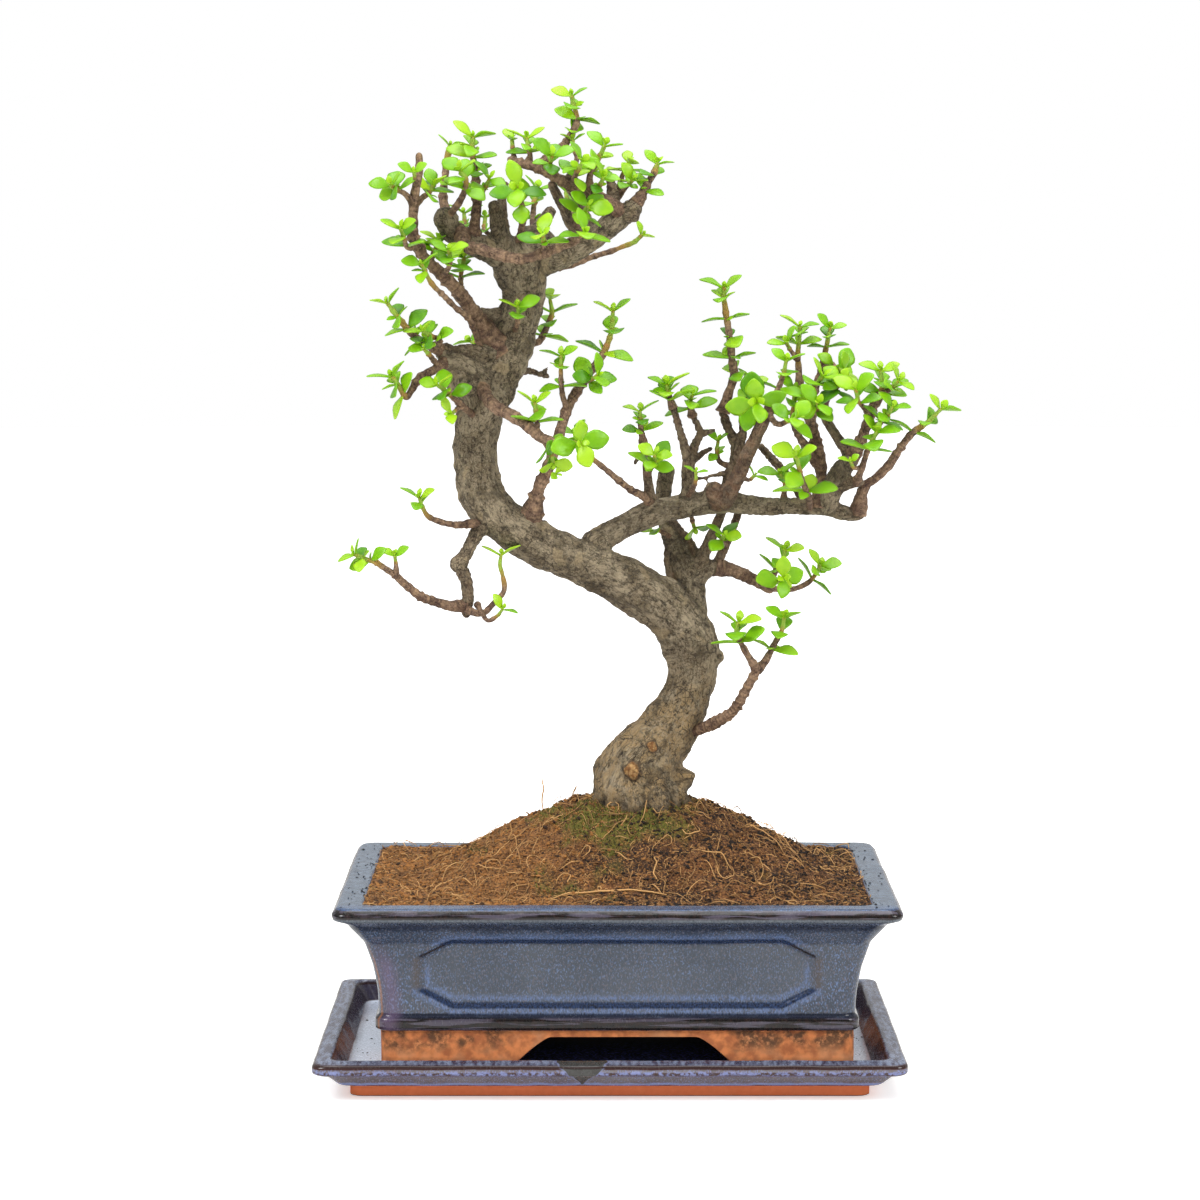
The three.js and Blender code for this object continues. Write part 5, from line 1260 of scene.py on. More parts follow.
def make_trunk():
    """All limbs, burls and flares as tubes, melted into one skin of small squares and smoothed,
    then pushed out and in: swellings as wide as the stem, ribs along it and rings across it."""
    stations = [*limb_stations.values(), *root_flares()]
    surfaces = []
    for one in stations:
        radius = np.repeat(one["radius"][:, None], 22, axis=1)
        surfaces.append(skin(blunt(one, round_loops(one, radius, 22), radius)))
    surfaces += [ball(from_photo([at])[0], radius) for at, radius in burls.values()]
    points, edges, faces = melted(surfaces)
    points = relax(points, edges, 5, 0.5)
    index = nearest_stem(points, stations)
    keys = ("at", "along", "side", "other", "radius", "run")
    nearest = {key: np.concatenate([one[key] for one in stations])[index] for key in keys}
    number = np.concatenate([np.full(len(one["at"]), k) for k, one in enumerate(stations)])[index]
    away = points - nearest["at"]
    across, upward = (away * nearest["side"]).sum(1), (away * nearest["other"]).sum(1)
    along = nearest["run"] + (away * nearest["along"]).sum(1)
    turn = np.arctan2(upward, across)
    radius = nearest["radius"]
    out = unit(away)
    straight = np.column_stack([radius * np.cos(turn), radius * np.sin(turn), along + 37.0 * number])
    swell = 0.085 * radius * noise(points, 10, 31) + 0.05 * radius * noise(points, 5, 32)
    ribs = 0.045 * radius * noise(straight * (1, 1, 0.15), 3.2, 33) * np.clip(radius / 6, 0, 1.4)
    spacing = 2.2 + 0.35 * radius
    phase = along / spacing + 0.35 * noise(straight, 6, 34) + 0.3 * noise(straight, 2.5, 35)
    wave = np.abs(phase - np.round(phase)) * 2
    ringed = np.clip(1.5 - radius / 7.5, 0.12, 1) * np.clip(0.6 + noise(points, 18, 36), 0, 1)
    groove = np.clip(1 - wave / 0.28, 0, 1) * ringed
    coarse = np.clip(radius / 8, 0.5, 1.3)
    fine = (0.28 * noise(points, 1.9, 37) + 0.42 * noise(points, 3.4, 38)) * coarse
    flakes = 0.7 * np.clip(noise(straight * (1, 1, 0.6), 4.4, 39) - 0.12, 0, 0.5) * coarse
    push = swell + ribs + fine + flakes - 0.42 * groove + 0.2 * ringed * (wave > 0.4)
    points, scar = cut_scars(points + out * push[:, None], out)
    above = points[:, 2] - soil_height(points[:, 0], points[:, 1])
    red = np.zeros(len(stations))
    red[: len(limbs)] = [redness.get(name, 0.0) for name in limbs]
    red = np.maximum(red[number], np.clip(1.3 - radius / 3.2, 0, 0.6))
    values = {"straight": straight, "groove": groove, "scar": scar, "above_soil": above, "red": red}
    return new_mesh("trunk_bark", (points, faces), make_trunk_finish(), **values)


place(make_trunk(), "bark", "trunk_and_branches")

# The leafy shoots: thin purple-brown stems, ringed where leaf pairs fell, green at their tips,
# each with its leaves in opposite pairs that turn a quarter turn from pair to pair.
# Each stem: its route and its thicknesses, and where it bears leaves also how many pairs, the share
# of its way where they begin, their length, the turn of the last pair round the stem in degrees,
# and True if they stand square to the stem where it points at the camera.
shoot_columns = ("route", "thick", "pairs", "from", "size", "turn", "facing")
branches = {
    "leafy_branch_top_arch": [
        ([(620, 212, -14), (607, 201, -21), (592, 196, -26), (579, 190, -27), (564, 182, -27),
         (550, 174, -27), (536, 167, -27), (524, 164, -26), (512, 160, -24)], (6, 4)),
        ([(538, 168, -27), (549, 157, -21), (558, 150, -15), (566, 142, -10), (573, 131, -8),
         (577, 122, -6), (576, 113, -4), (573, 104, -4), (572, 97, -4)], (4.4, 2), 4, 0.48, 10.5, 0),
        ([(568, 184, -27), (572, 170, -21), (577, 158, -16), (573, 148, -14), (573, 141, -12)], (3.6, 1.8),
         1, 1, 8.5, 0),
        ([(592, 196, -26), (590, 176, -30), (598, 160, -33), (604, 147, -34)], (3.4, 2), 3, 0.4, 12, 20),
        ([(572, 187, -27), (574, 179, -36), (578, 170, -44), (582, 163, -50)], (3, 1.8), 3, 0.4, 11.5, 45),
        ([(596, 198, -26), (599, 187, -36), (603, 179, -44)], (2.8, 1.8), 2, 0.55, 10.5, 10),
        ([(549, 174, -27), (550, 165, -34), (552, 157, -40)], (2.6, 1.8), 2, 0.55, 13, 0),
        ([(527, 165, -26), (530, 156, -22), (528, 148, -21), (527, 139, -20)], (3, 1.8), 3, 0.45, 10.5, 10),
        ([(514, 161, -24), (513, 151, -18), (512, 141, -15)], (2.6, 1.8), 1, 1, 9, 70),
    ],
    "leafy_twig_top_right": [([(632, 207, -15), (641, 196, -14), (648, 183, -10), (654, 173, -9),
        (657, 165, -8)], (5.4, 2.4), 3, 0.35, 11, 20)],
    "leafy_twig_top_right_inner": [
        ([(620, 216, -9), (618, 192, 0), (623, 174, 6), (628, 164, 9)], (3.4, 1.8), 3, 0.5, 11, 60),
        ([(619, 198, -2), (627, 186, -8), (632, 181, -12)], (2.4, 1.8), 2, 0.6, 10, 20),
    ],
    "leafy_twig_crown_front": [([(574, 228, -15), (578, 220, -26), (584, 212, -33), (588, 207, -39)],
        (3, 1.8), 3, 0.5, 12, 10)],
    "leafy_branch_front_arch": [
        ([(456, 240, -18), (466, 246, -30), (480, 249, -38), (500, 255, -42), (522, 259, -44),
         (540, 254, -44), (558, 248, -44), (574, 241, -44)], (6, 4.2)),
        ([(573, 241, -44), (580, 237, -50), (584, 233, -57)], (3, 1.8), 2, 0.6, 12.5, 70),
        ([(546, 253, -44), (544, 243, -51), (543, 236, -57)], (2.6, 1.8), 2, 0.5, 12, 100),
    ],
    "leafy_twig_round_leaf": [([(526, 246, -9), (523, 216, -26), (519, 196, -36), (518, 188, -50)],
        (3.6, 2), 3, 0.5, 13.5, 90, True)],
    "leafy_twig_left_whorl": [
        ([(474, 244, -14), (475, 222, -14), (477, 202, -12), (476, 184, -12), (474, 164, -12),
         (472, 150, -12), (473, 138, -12)], (5.6, 2.2), 4, 0.6, 12.5, 5),
        ([(477, 200, -12), (484, 189, -21), (489, 180, -27)], (2.8, 1.8), 2, 0.55, 11, 30),
    ],
    "leafy_twig_left_knob": [([(448, 216, -20), (458, 204, -27), (464, 192, -30), (466, 180, -32),
        (461, 172, -32)], (3.6, 2), 3, 0.55, 12.5, 40)],
    "leafy_twig_left_post": [([(455, 234, -9), (447, 212, 3), (443, 197, 8), (445, 178, 10), (447, 160, 12),
        (450, 147, 12)], (5, 2.6), 2, 0.55, 8, 0)],
    "leafy_twig_crown_back_left": [([(470, 240, -3), (466, 228, 12), (464, 214, 21)], (3, 1.8), 2, 0.55, 11,
        0)],
    "leafy_twig_crown_back": [([(488, 246, 3), (486, 232, 18), (485, 218, 27)], (3, 1.8), 2, 0.5, 9.5, 0)],
    "leafy_twig_crown_back_middle": [([(533, 236, 12), (533, 222, 24), (534, 205, 33), (537, 190, 38)],
        (3.6, 1.8), 3, 0.4, 10.5, 20)],
    "leafy_twig_crown_back_right": [([(584, 240, 6), (573, 214, 27), (567, 200, 34), (566, 192, 38)],
        (3, 1.8), 2, 0.6, 9.5, 30)],
    "leafy_twig_right_whisker": [([(530, 272, 9), (549, 269, 21), (571, 265, 28), (595, 256, 33),
        (609, 252, 34), (622, 247, 36), (634, 242, 36), (641, 236, 36)], (3.6, 2), 1, 1, 8.5, 10)],
    "leafy_branch_far_left": [
        ([(492, 338, -4), (478, 320, -14), (468, 305, -20), (455, 288, -26), (439, 272, -30),
         (424, 257, -33), (414, 240, -36), (413, 222, -36), (414, 203, -36), (416, 187, -36),
         (419, 172, -36), (419, 157, -36)], (10, 8, 6.6, 6, 5.8, 5.4, 5, 4.8, 4.8, 4.2, 3.6, 3.2)),
        ([(416, 186, -36), (415, 178, -45), (414, 173, -51)], (2.4, 1.8), 1, 1, 9.5, 0),
        ([(414, 203, -36), (405, 194, -39), (397, 190, -42), (392, 186, -44)], (3, 1.8), 3, 0.6, 11, 20),
        ([(414, 205, -36), (423, 197, -32), (429, 193, -30), (433, 187, -28)], (3, 1.8), 3, 0.55, 11, 60),
        ([(418, 250, -34), (408, 247, -42), (404, 238, -46), (401, 230, -50)], (3, 1.8), 3, 0.35, 11, 30),
        ([(462, 297, -22), (461, 285, -14), (461, 274, -9), (464, 259, -6)], (3, 1.8), 3, 0.55, 11, 10),
        ([(440, 273, -30), (448, 269, -38), (450, 260, -40), (449, 252, -42)], (3, 1.8), 3, 0.45, 10.5, 20),
        ([(429, 262, -32), (435, 250, -22), (438, 241, -16)], (2.6, 1.8), 3, 0.4, 11, 10),
    ],
    "leafy_twig_left_thin": [([(484, 336, -15), (470, 321, -27), (456, 308, -34), (445, 297, -39),
        (432, 284, -44), (426, 273, -46), (422, 265, -48)], (3, 1.9), 2, 0.86, 10, 10)],
    "leafy_branch_left_spray": [
        ([(444, 352, -22), (431, 346, -28), (422, 341, -32), (413, 335, -34), (401, 321, -38),
         (388, 304, -39)], (4.8, 2), 5, 0.38, 11, 5),
        ([(436, 349, -26), (440, 341, -38), (432, 336, -44), (424, 332, -46)], (2.8, 1.8), 3, 0.5, 10, 30),
    ],
    "leafy_twig_left_drooping": [
        ([(446, 362, -24), (432, 371, -33), (420, 377, -38), (411, 391, -40), (406, 397, -42),
         (399, 386, -44), (393, 378, -44)], (4.4, 2), 3, 0.72, 12.5, 10),
        ([(440, 366, -28), (431, 357, -38), (425, 350, -42)], (2.8, 1.8), 1, 1, 9.5, 40),
    ],
    "leafy_twig_left_foreground": [
        ([(474, 420, -18), (462, 406, -33), (450, 395, -40), (439, 386, -45)], (3.6, 1.8), 3, 0.65, 11, 20),
        ([(462, 406, -33), (456, 410, -40), (451, 414, -45)], (2.2, 1.6), 1, 1, 9.5, 60),
    ],
    "leafy_twig_behind_trunk": [([(496, 346, 6), (482, 343, 21), (472, 342, 28)], (3, 1.8), 2, 0.6, 10.5,
        10)],
    "leafy_twig_trunk_front": [([(515, 334, -8), (517, 325, -21), (518, 316, -26), (518, 308, -27)],
        (2.8, 1.8), 2, 0.72, 11.5, 0)],
    "leafy_twig_trunk_right": [([(522, 350, 4), (536, 343, 16), (544, 333, 21), (549, 322, 22),
        (552, 312, 22), (550, 300, 22)], (3.6, 1.8), 4, 0.35, 12, 80)],
    "leafy_branch_middle_upright": [
        ([(530, 530, -12), (533, 510, -16), (539, 488, -20), (547, 470, -21), (555, 448, -21),
         (562, 425, -20), (569, 405, -18), (579, 388, -16), (590, 372, -15), (602, 356, -14),
         (611, 333, -12), (613, 312, -12)], (10, 8.6, 6.2, 5.4, 5.2, 5, 4.8, 4.6, 4.2, 3.6, 2.4, 1.8), 3,
         0.83, 13, 0),
        ([(567, 410, -18), (563, 397, -24), (561, 380, -26), (561, 366, -26), (561, 357, -26)], (2.8, 1.8),
         3, 0.4, 11, 0),
        ([(583, 382, -16), (590, 380, -26), (597, 376, -32)], (2.6, 1.8), 3, 0.35, 11, 50),
        ([(546, 472, -21), (551, 474, -28), (556, 474, -33)], (2.2, 1.6), 1, 1, 8, 90),
    ],
    "leafy_branch_front_ringed": [
        ([(480, 398, -21), (492, 404, -33), (513, 416, -45), (529, 427, -51), (542, 438, -54),
         (558, 444, -57)], (6.4, 4.4)),
        ([(557, 444, -57), (568, 444, -62), (576, 443, -68), (580, 443, -75)], (3.2, 2), 2, 0.75, 13.5, 80,
         True),
        ([(537, 433, -52), (537, 423, -51), (536, 413, -50), (535, 404, -50)], (2.6, 1.8), 3, 0.35, 11, 0),
        ([(543, 438, -54), (547, 447, -52), (551, 454, -51), (553, 462, -50)], (2.6, 1.8), 3, 0.35, 10.5,
         20),
    ],
    "leafy_twig_long_thin": [([(657, 506, 0), (643, 496, -6), (631, 490, -8), (616, 478, -9),
        (604, 468, -9), (592, 458, -9), (582, 446, -8), (575, 434, -6)], (4, 2), 3, 0.86, 10.5, 20)],
    "leafy_twig_first_upright": [([(643, 444, -2), (641, 430, -3), (640, 420, -3), (640, 412, -3)],
        (3, 1.8), 3, 0.3, 10.5, 0)],
    "leafy_twig_first_side": [([(647, 474, 0), (653, 465, -10), (655, 456, -16)], (2.8, 1.8), 3, 0.4, 11.5,
        20)],
    "leafy_twig_second_left": [([(673, 408, -3), (669, 396, -4), (667, 386, -4)], (3.2, 1.8), 3, 0.3, 13,
        10)],
    "leafy_twig_second_right": [([(692, 416, 8), (690, 404, 3), (692, 396, -2)], (3.2, 1.8), 3, 0.3, 14,
        0)],
    "leafy_twig_tall_shoot": [([(722, 412, 16), (729, 392, 15), (734, 376, 14), (732, 360, 14),
        (730, 340, 14), (727, 320, 14), (724, 299, 14), (724, 289, 14)], (4.6, 2.2), 6, 0.3, 12.5, 0)],
    "leafy_twig_big_leaves": [([(742, 412, 9), (748, 404, -6), (754, 402, -18), (757, 402, -32)], (3.2, 2),
        3, 0.5, 15, 80, True)],
    "leafy_twig_third_fork": [([(741, 410, 10), (747, 396, 18), (751, 384, 21)], (3, 1.8), 2, 0.6, 10.5,
        10)],
    "leafy_twig_third_side": [([(731, 466, 15), (720, 462, 18), (717, 452, 16), (718, 442, 15)], (3, 1.8),
        2, 0.6, 8.5, 30)],
    "leafy_twig_scar_shoot": [([(696, 500, 0), (695, 484, -12), (696, 473, -15)], (2.4, 1.6), 1, 1, 8, 20)],
    "leafy_twig_red_side": [([(768, 414, -15), (777, 424, -24), (788, 421, -28), (795, 419, -30)],
        (2.8, 1.8), 2, 0.7, 12.5, 80)],
    "leafy_twig_red_tip": [([(771, 405, -16), (777, 392, -14), (783, 376, -10), (786, 362, -9)], (3.6, 1.8),
        3, 0.4, 11.5, 10)],
    "leafy_twig_red_back": [([(741, 474, -4), (748, 480, 4), (754, 476, 10)], (2.4, 1.6), 1, 1, 7.5, 30)],
    "leafy_branch_right_upright": [
        ([(823, 512, 9), (822, 482, 10), (818, 452, 12), (813, 430, 14), (806, 408, 15), (801, 392, 16),
         (798, 360, 18), (799, 340, 18), (800, 328, 18)], (7.4, 6.2, 6, 5.6, 5, 4.2, 2.8, 2.2, 1.8), 3,
         0.84, 11.5, 0),
        ([(798, 360, 18), (791, 351, 14), (787, 344, 10)], (2.4, 1.8), 1, 1, 11, 0),
        ([(818, 461, 12), (807, 448, 8), (799, 436, 6), (793, 421, 4), (794, 405, 2), (795, 390, -2)],
         (4.6, 2), 3, 0.68, 10.5, 20),
        ([(807, 411, 15), (815, 388, 20), (821, 372, 21), (824, 357, 22), (827, 344, 22), (830, 329, 22)],
         (4.6, 1.8), 3, 0.75, 10.5, 0),
        ([(821, 372, 21), (831, 364, 15), (838, 370, 9), (844, 371, 4)], (2.8, 1.8), 3, 0.45, 11, 30),
        ([(813, 430, 14), (814, 416, 3), (817, 408, -6), (818, 404, -16)], (3, 2), 3, 0.5, 13, 45),
        ([(804, 401, 15), (810, 392, 6), (816, 384, 0), (822, 378, -4)], (2.8, 1.8), 2, 0.65, 13, 30),
    ],
    "leafy_twig_limb_front": [([(809, 507, 3), (808, 495, -10), (802, 480, -18), (799, 468, -24),
        (797, 458, -28)], (3.4, 2), 3, 0.3, 15, 20)],
    "leafy_twig_limb_back": [([(783, 508, 10), (784, 494, 12), (785, 484, 12), (781, 475, 12)], (3.2, 1.8),
        2, 0.75, 11.5, 0)],
    "leafy_twig_inner_right": [([(823, 414, 12), (826, 402, 8), (833, 392, 3), (838, 386, 0),
        (841, 380, -3)], (3.4, 1.8), 3, 0.55, 12, 35)],
    "leafy_branch_right_outer": [
        ([(852, 458, 0), (861, 440, -3), (868, 422, -4), (873, 407, -6), (880, 397, -6), (882, 386, -6),
         (881, 372, -6)], (6, 5.2, 4.8, 4.4, 3.6, 2.4, 1.8), 3, 0.74, 12, 0),
        ([(879, 398, -6), (889, 390, -12), (898, 382, -15)], (2.8, 1.8), 2, 0.6, 11.5, 20),
        ([(870, 416, -4), (865, 409, -14), (859, 402, -18), (856, 391, -21)], (2.6, 1.8), 3, 0.6, 12, 30),
        ([(867, 426, -4), (878, 424, -14), (886, 417, -18), (892, 408, -21)], (2.8, 1.8), 3, 0.45, 10.5,
         10),
    ],
    "leafy_twig_right_burl": [
        ([(856, 482, -3), (862, 468, -14), (867, 452, -18), (872, 442, -20), (876, 433, -21)], (3.6, 2), 3,
         0.55, 13, 0),
        ([(861, 470, -12), (854, 468, -21), (851, 462, -26)], (2, 1.6), 1, 1, 7, 10),
    ],
    "leafy_twig_limb_end": [([(856, 512, 6), (864, 488, 3), (876, 478, 0), (889, 465, -3), (899, 450, -4),
        (908, 438, -6), (915, 431, -6), (928, 422, -8), (940, 410, -9)],
        (6.2, 5, 4.4, 4.2, 4, 3.8, 3.4, 2.2, 1.8), 3, 0.72, 11.5, 10)],
    "leafy_twig_link": [([(726, 546, 21), (722, 541, 12), (724, 536, 6)], (2.6, 1.8), 2, 0.6, 11, 30)],
    "leafy_twig_under_limb": [([(691, 507, 9), (692, 519, 18), (694, 527, 21)], (2.4, 1.6), 1, 1, 9.5, 20)],
    "leafy_twig_secondary": [([(672, 534, 22), (660, 531, 15), (654, 531, 12)], (2.4, 1.6), 1, 1, 9.5, 60)],
    "leafy_branch_right_low": [
        ([(714, 567, 20), (734, 571, 22), (752, 579, 24), (768, 588, 26)], (7, 6.2, 5.8, 5.2)),
        ([(766, 587, 26), (773, 576, 22), (778, 567, 20), (783, 558, 18), (785, 551, 18)], (3.4, 1.8), 3,
         0.4, 11.5, 10),
        ([(766, 586, 24), (774, 583, 12), (780, 580, 2), (783, 578, -10)], (2.8, 2), 2, 0.65, 13.5, 80,
         True),
        ([(767, 588, 26), (788, 590, 32), (806, 584, 33), (816, 574, 33), (820, 566, 33)], (3, 1.8), 3,
         0.62, 11, 20),
    ],
    "leafy_branch_low_right": [
        ([(668, 736, 5), (700, 729, 1), (716, 722, -7), (731, 713, -14), (739, 703, -18), (747, 688, -21),
         (757, 670, -24)], (6, 4.2)),
        ([(757, 671, -24), (750, 659, -26), (742, 645, -27), (737, 634, -28), (738, 624, -28)], (3.6, 1.8),
         3, 0.55, 13, 10),
        ([(757, 671, -24), (766, 660, -21), (775, 643, -18), (782, 630, -16), (784, 619, -16)], (4, 1.8), 3,
         0.4, 12, 10),
    ],
    "leafy_twig_low_left_upper": [([(480, 518, -18), (468, 524, -27), (457, 525, -32), (441, 522, -36),
        (428, 516, -39), (422, 506, -40), (420, 499, -40)], (4, 1.8), 2, 0.88, 10.5, 20)],
    "leafy_branch_low_left": [
        ([(467, 606, -24), (451, 606, -30), (433, 601, -34), (420, 596, -38), (405, 584, -40),
         (395, 575, -42), (383, 567, -44), (375, 562, -45), (365, 559, -45), (356, 555, -46)], (5, 2), 3,
         0.82, 10, 20),
        ([(396, 576, -42), (396, 566, -44), (395, 557, -44)], (2.8, 1.8), 1, 1, 9.5, 10),
    ],
    "leafy_twig_low_left_hook": [
        ([(467, 610, -26), (476, 613, -30), (485, 612, -30), (494, 603, -28), (504, 591, -26),
         (503, 577, -24), (500, 565, -22), (501, 556, -22)], (3.4, 1.8), 1, 1, 12, 0),
        ([(477, 613, -30), (487, 620, -38), (497, 616, -40), (502, 610, -42)], (2.4, 1.6), 1, 1, 9, 10),
    ],
}
shoot_spacing = 20
limb_spacing = {"trunk": 23, "other": 26}
leaf_lean = {"less": np.array([1, 0.35, 1]), "light": np.array([0, -0.5, 0.5])}
leaf_roll = 70
# The ways that a leaf gives way to its neighbours: degrees on its spread and its turn, and a share
# of its length. A leaf is found where its solid's corners are as near as the same place.
givings = [
    (0, 0, 1), (-16, 0, 1), (16, 0, 1), (0, 24, 1), (0, -24, 1), (-22, 24, 0.9), (-22, -24, 0.9),
    (20, 30, 0.85), (20, -30, 0.85), (-32, 0, 0.8), (0, 50, 0.75), (0, -50, 0.75),
]
small_givings = {"folded": (-24, 0, 1), "opening": (-14, 0, 1)}
same_place = 0.05


def draw(leaf, purpose):
    """A number from 0 to 1 that is always the same for the same leaf and purpose."""
    value = math.sin(leaf * 12.9898 + purpose * 78.233) * 43758.5453
    return value - math.floor(value)


def bends_through(points, spacing):
    """Places and directions along a stem's curve, about as far apart as the spacing."""
    share = np.linspace(0, 1, 1 + max(2, math.floor(run_length(points) / spacing + 0.5)))
    return smooth_place(points, share), direction(points, share)


def place_on(bends, share):
    """The place and direction on a stem at a share of its way, on the straight between bends."""
    at, along = bends
    where = np.asarray(share) * (len(at) - 1)
    before = np.minimum(np.floor(where).astype(int), len(at) - 2)
    rest = (where - before)[..., None]
    middle = along[before] * (1 - rest) + along[before + 1] * rest
    return at[before] * (1 - rest) + at[before + 1] * rest, unit(middle)


def shoots_of(name):
    """A leafy branch's shoots. The first grows from the nearest limb, and each other one from the
    nearest bit of an earlier one."""
    shoots = []
    for row in branches[name]:
        shoot = {"pairs": 0, "facing": False, **dict(zip(shoot_columns, row))}
        points = from_photo(shoot["route"])
        stems = [earlier["bends"] for earlier in shoots] or limb_bends
        near = np.concatenate([place_on(bends, np.arange(41) / 40)[0] for bends in stems])
        points[0] = near[np.linalg.norm(near - points[0], axis=1).argmin()]
        shoots.append({**shoot, "points": points, "bends": bends_through(points, shoot_spacing)})
    return shoots


def turned(vector, axis, degrees):
    """The vector turned round the axis."""
    angle = math.radians(degrees)
    return (vector * math.cos(angle) + np.cross(axis, vector) * math.sin(angle)
            + axis * (axis @ vector) * (1 - math.cos(angle)))


def leaf_at(shoot, pair, which, number, giving):
    """A leaf's root, its three directions and its length. It leans out from the stem by its
    spread, in the direction that its turn round the stem gives."""
    pairs = shoot["pairs"]
    share = shoot["from"] + (1 - shoot["from"]) * pair / (pairs - 1) if pairs > 1 else 1.0
    root, stemward = place_on(shoot["bends"], share)
    if not shoot["facing"]:
        stemward = unit(stemward * leaf_lean["less"] + leaf_lean["light"])
    forward = np.array([0.0, -1.0, 0.0])
    is_forward = abs(stemward @ forward) > 0.85
    side = unit(np.cross(stemward, (0.0, 0.0, 1.0) if is_forward else forward))
    front = np.cross(side, stemward)
    is_tip = pair == pairs - 1
    turn = shoot["turn"] + (pairs - 1 - pair) * 90 + which * 180 + giving[1] + 24 * (draw(number, 1) - 0.5)
    spread = (52 if is_tip else 72) + giving[0] + 22 * (draw(number, 2) - 0.5)
    length = shoot["size"] * giving[2] * (0.9 if is_tip else 1) * (0.86 + 0.28 * draw(number, 3))
    outward = side * math.cos(math.radians(turn)) + front * math.sin(math.radians(turn))
    along = unit(outward * math.sin(math.radians(spread)) + stemward * math.cos(math.radians(spread)))
    up = unit(stemward - along * (stemward @ along))
    up = turned(up, along, leaf_roll * (draw(number, 4) - 0.5))
    return {"root": smooth_place(shoot["points"], share), "solid_root": root, "along": along,
            "across": np.cross(along, up), "up": up, "length": length, "tip": is_tip}


def rim_of(leaf):
    """The four corners of the leaf's rim in its plain solid."""
    corners = np.array([(0.5, 0.37), (0.93, 0.27), (0.5, -0.37), (0.93, -0.27)])
    share, aside = corners[:, :1], corners[:, 1:]
    raised = 0.06 - 0.14 * share**2
    reach = share * leaf["along"] + aside * leaf["across"] + raised * leaf["up"]
    return leaf["solid_root"] + leaf["length"] * reach


def leaves_of(name, shoots, number):
    """The leaves that the node's solid holds: each is tried in every way that it may give way to
    its neighbours, and the way that has three corners of its rim in the solid is the one."""
    solid = read(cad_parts[name].data.vertices, "co", np.float32, 3)
    corners = np.unique(solid, axis=0).astype(float) / millimetre
    leaves = []
    for shoot in shoots:
        for pair, which in np.ndindex(shoot["pairs"], 2):
            number += 1
            for giving in givings:
                leaf = leaf_at(shoot, pair, which, number, giving)
                off = np.linalg.norm(rim_of(leaf)[:, None] - corners, axis=-1).min(axis=1)
                if np.sort(off)[2] < same_place:
                    leaves.append(leaf)
                    break
    return leaves, number


# Half a leaf's outline: a share of its length, its half width there and how plump it is.
blade = np.array([
    (0.0, 0.04, 0.9), (0.1, 0.07, 0.9), (0.24, 0.18, 0.95), (0.4, 0.29, 1.0), (0.56, 0.345, 1.0),
    (0.72, 0.31, 0.95), (0.87, 0.2, 0.8), (0.96, 0.09, 0.6),
])


def leaf_blades(leaves, rng):
    """Every leaf as eight loops of eight points round its midrib, closed at the stalk and at the
    tip. The loops are flat ovals; the blade is a shallow spoon that bends back at its tip."""
    count = len(leaves)
    keys = ("root", "along", "across", "up", "length", "age")
    root, along, across, up, length, age = (np.array([leaf[key] for leaf in leaves]) for key in keys)
    share, half, plump = blade.T
    turn = np.arange(8) * np.pi / 4
    wide = rng.uniform(0.82, 1.12, (count, 1, 1))
    spoon = rng.uniform(0.1, 0.34, (count, 1, 1))
    droop = rng.uniform(0.08, 0.26, (count, 1, 1))
    sway = rng.normal(0, 0.04, (count, 1, 1))
    aside = half[:, None] * np.cos(turn) * wide
    thick = 0.05 * plump[:, None] * np.sin(turn) * np.where(turn > 3.2, 1.25, 1.0)
    edge = np.abs(np.cos(turn)) ** 2
    raised = thick + spoon * edge * half[:, None] ** 2 / 0.37 - droop * share[:, None] ** 2 + 0.02
    share_all = np.broadcast_to(share[:, None], aside.shape[1:])
    bent = aside + sway * share_all**2
    reach = length[:, None, None, None]
    at = (
        root[:, None, None] + reach * share_all[None, ..., None] * along[:, None, None]
        + reach * bent[..., None] * across[:, None, None] + reach * raised[..., None] * up[:, None, None]
    )
    tip_raised = (0.02 - droop[:, 0, 0])[:, None]
    tip = root + length[:, None] * (along + sway[:, 0] * across + tip_raised * up)
    points = np.concatenate([at.reshape(count, -1, 3), root[:, None], tip[:, None]], axis=1)
    _, faces = skin(np.zeros((len(blade), 8, 3)))
    rim = np.append(np.tile(np.abs(np.cos(turn)), len(blade)), [0.0, 1.0])
    lengthways = np.append(np.repeat(share, 8), [0.0, 1.0])
    under = np.append(np.tile((np.sin(turn) < -0.1) * 1.0, len(blade)), [0.0, 0.5])
    leaf_place = np.tile(np.column_stack([lengthways, rim, under]), (count, 1))
    surface = (points.reshape(-1, 3), many_faces(faces, points.shape[1], count))
    return surface, {"leaf_place": leaf_place, "age": np.repeat(age, points.shape[1])}


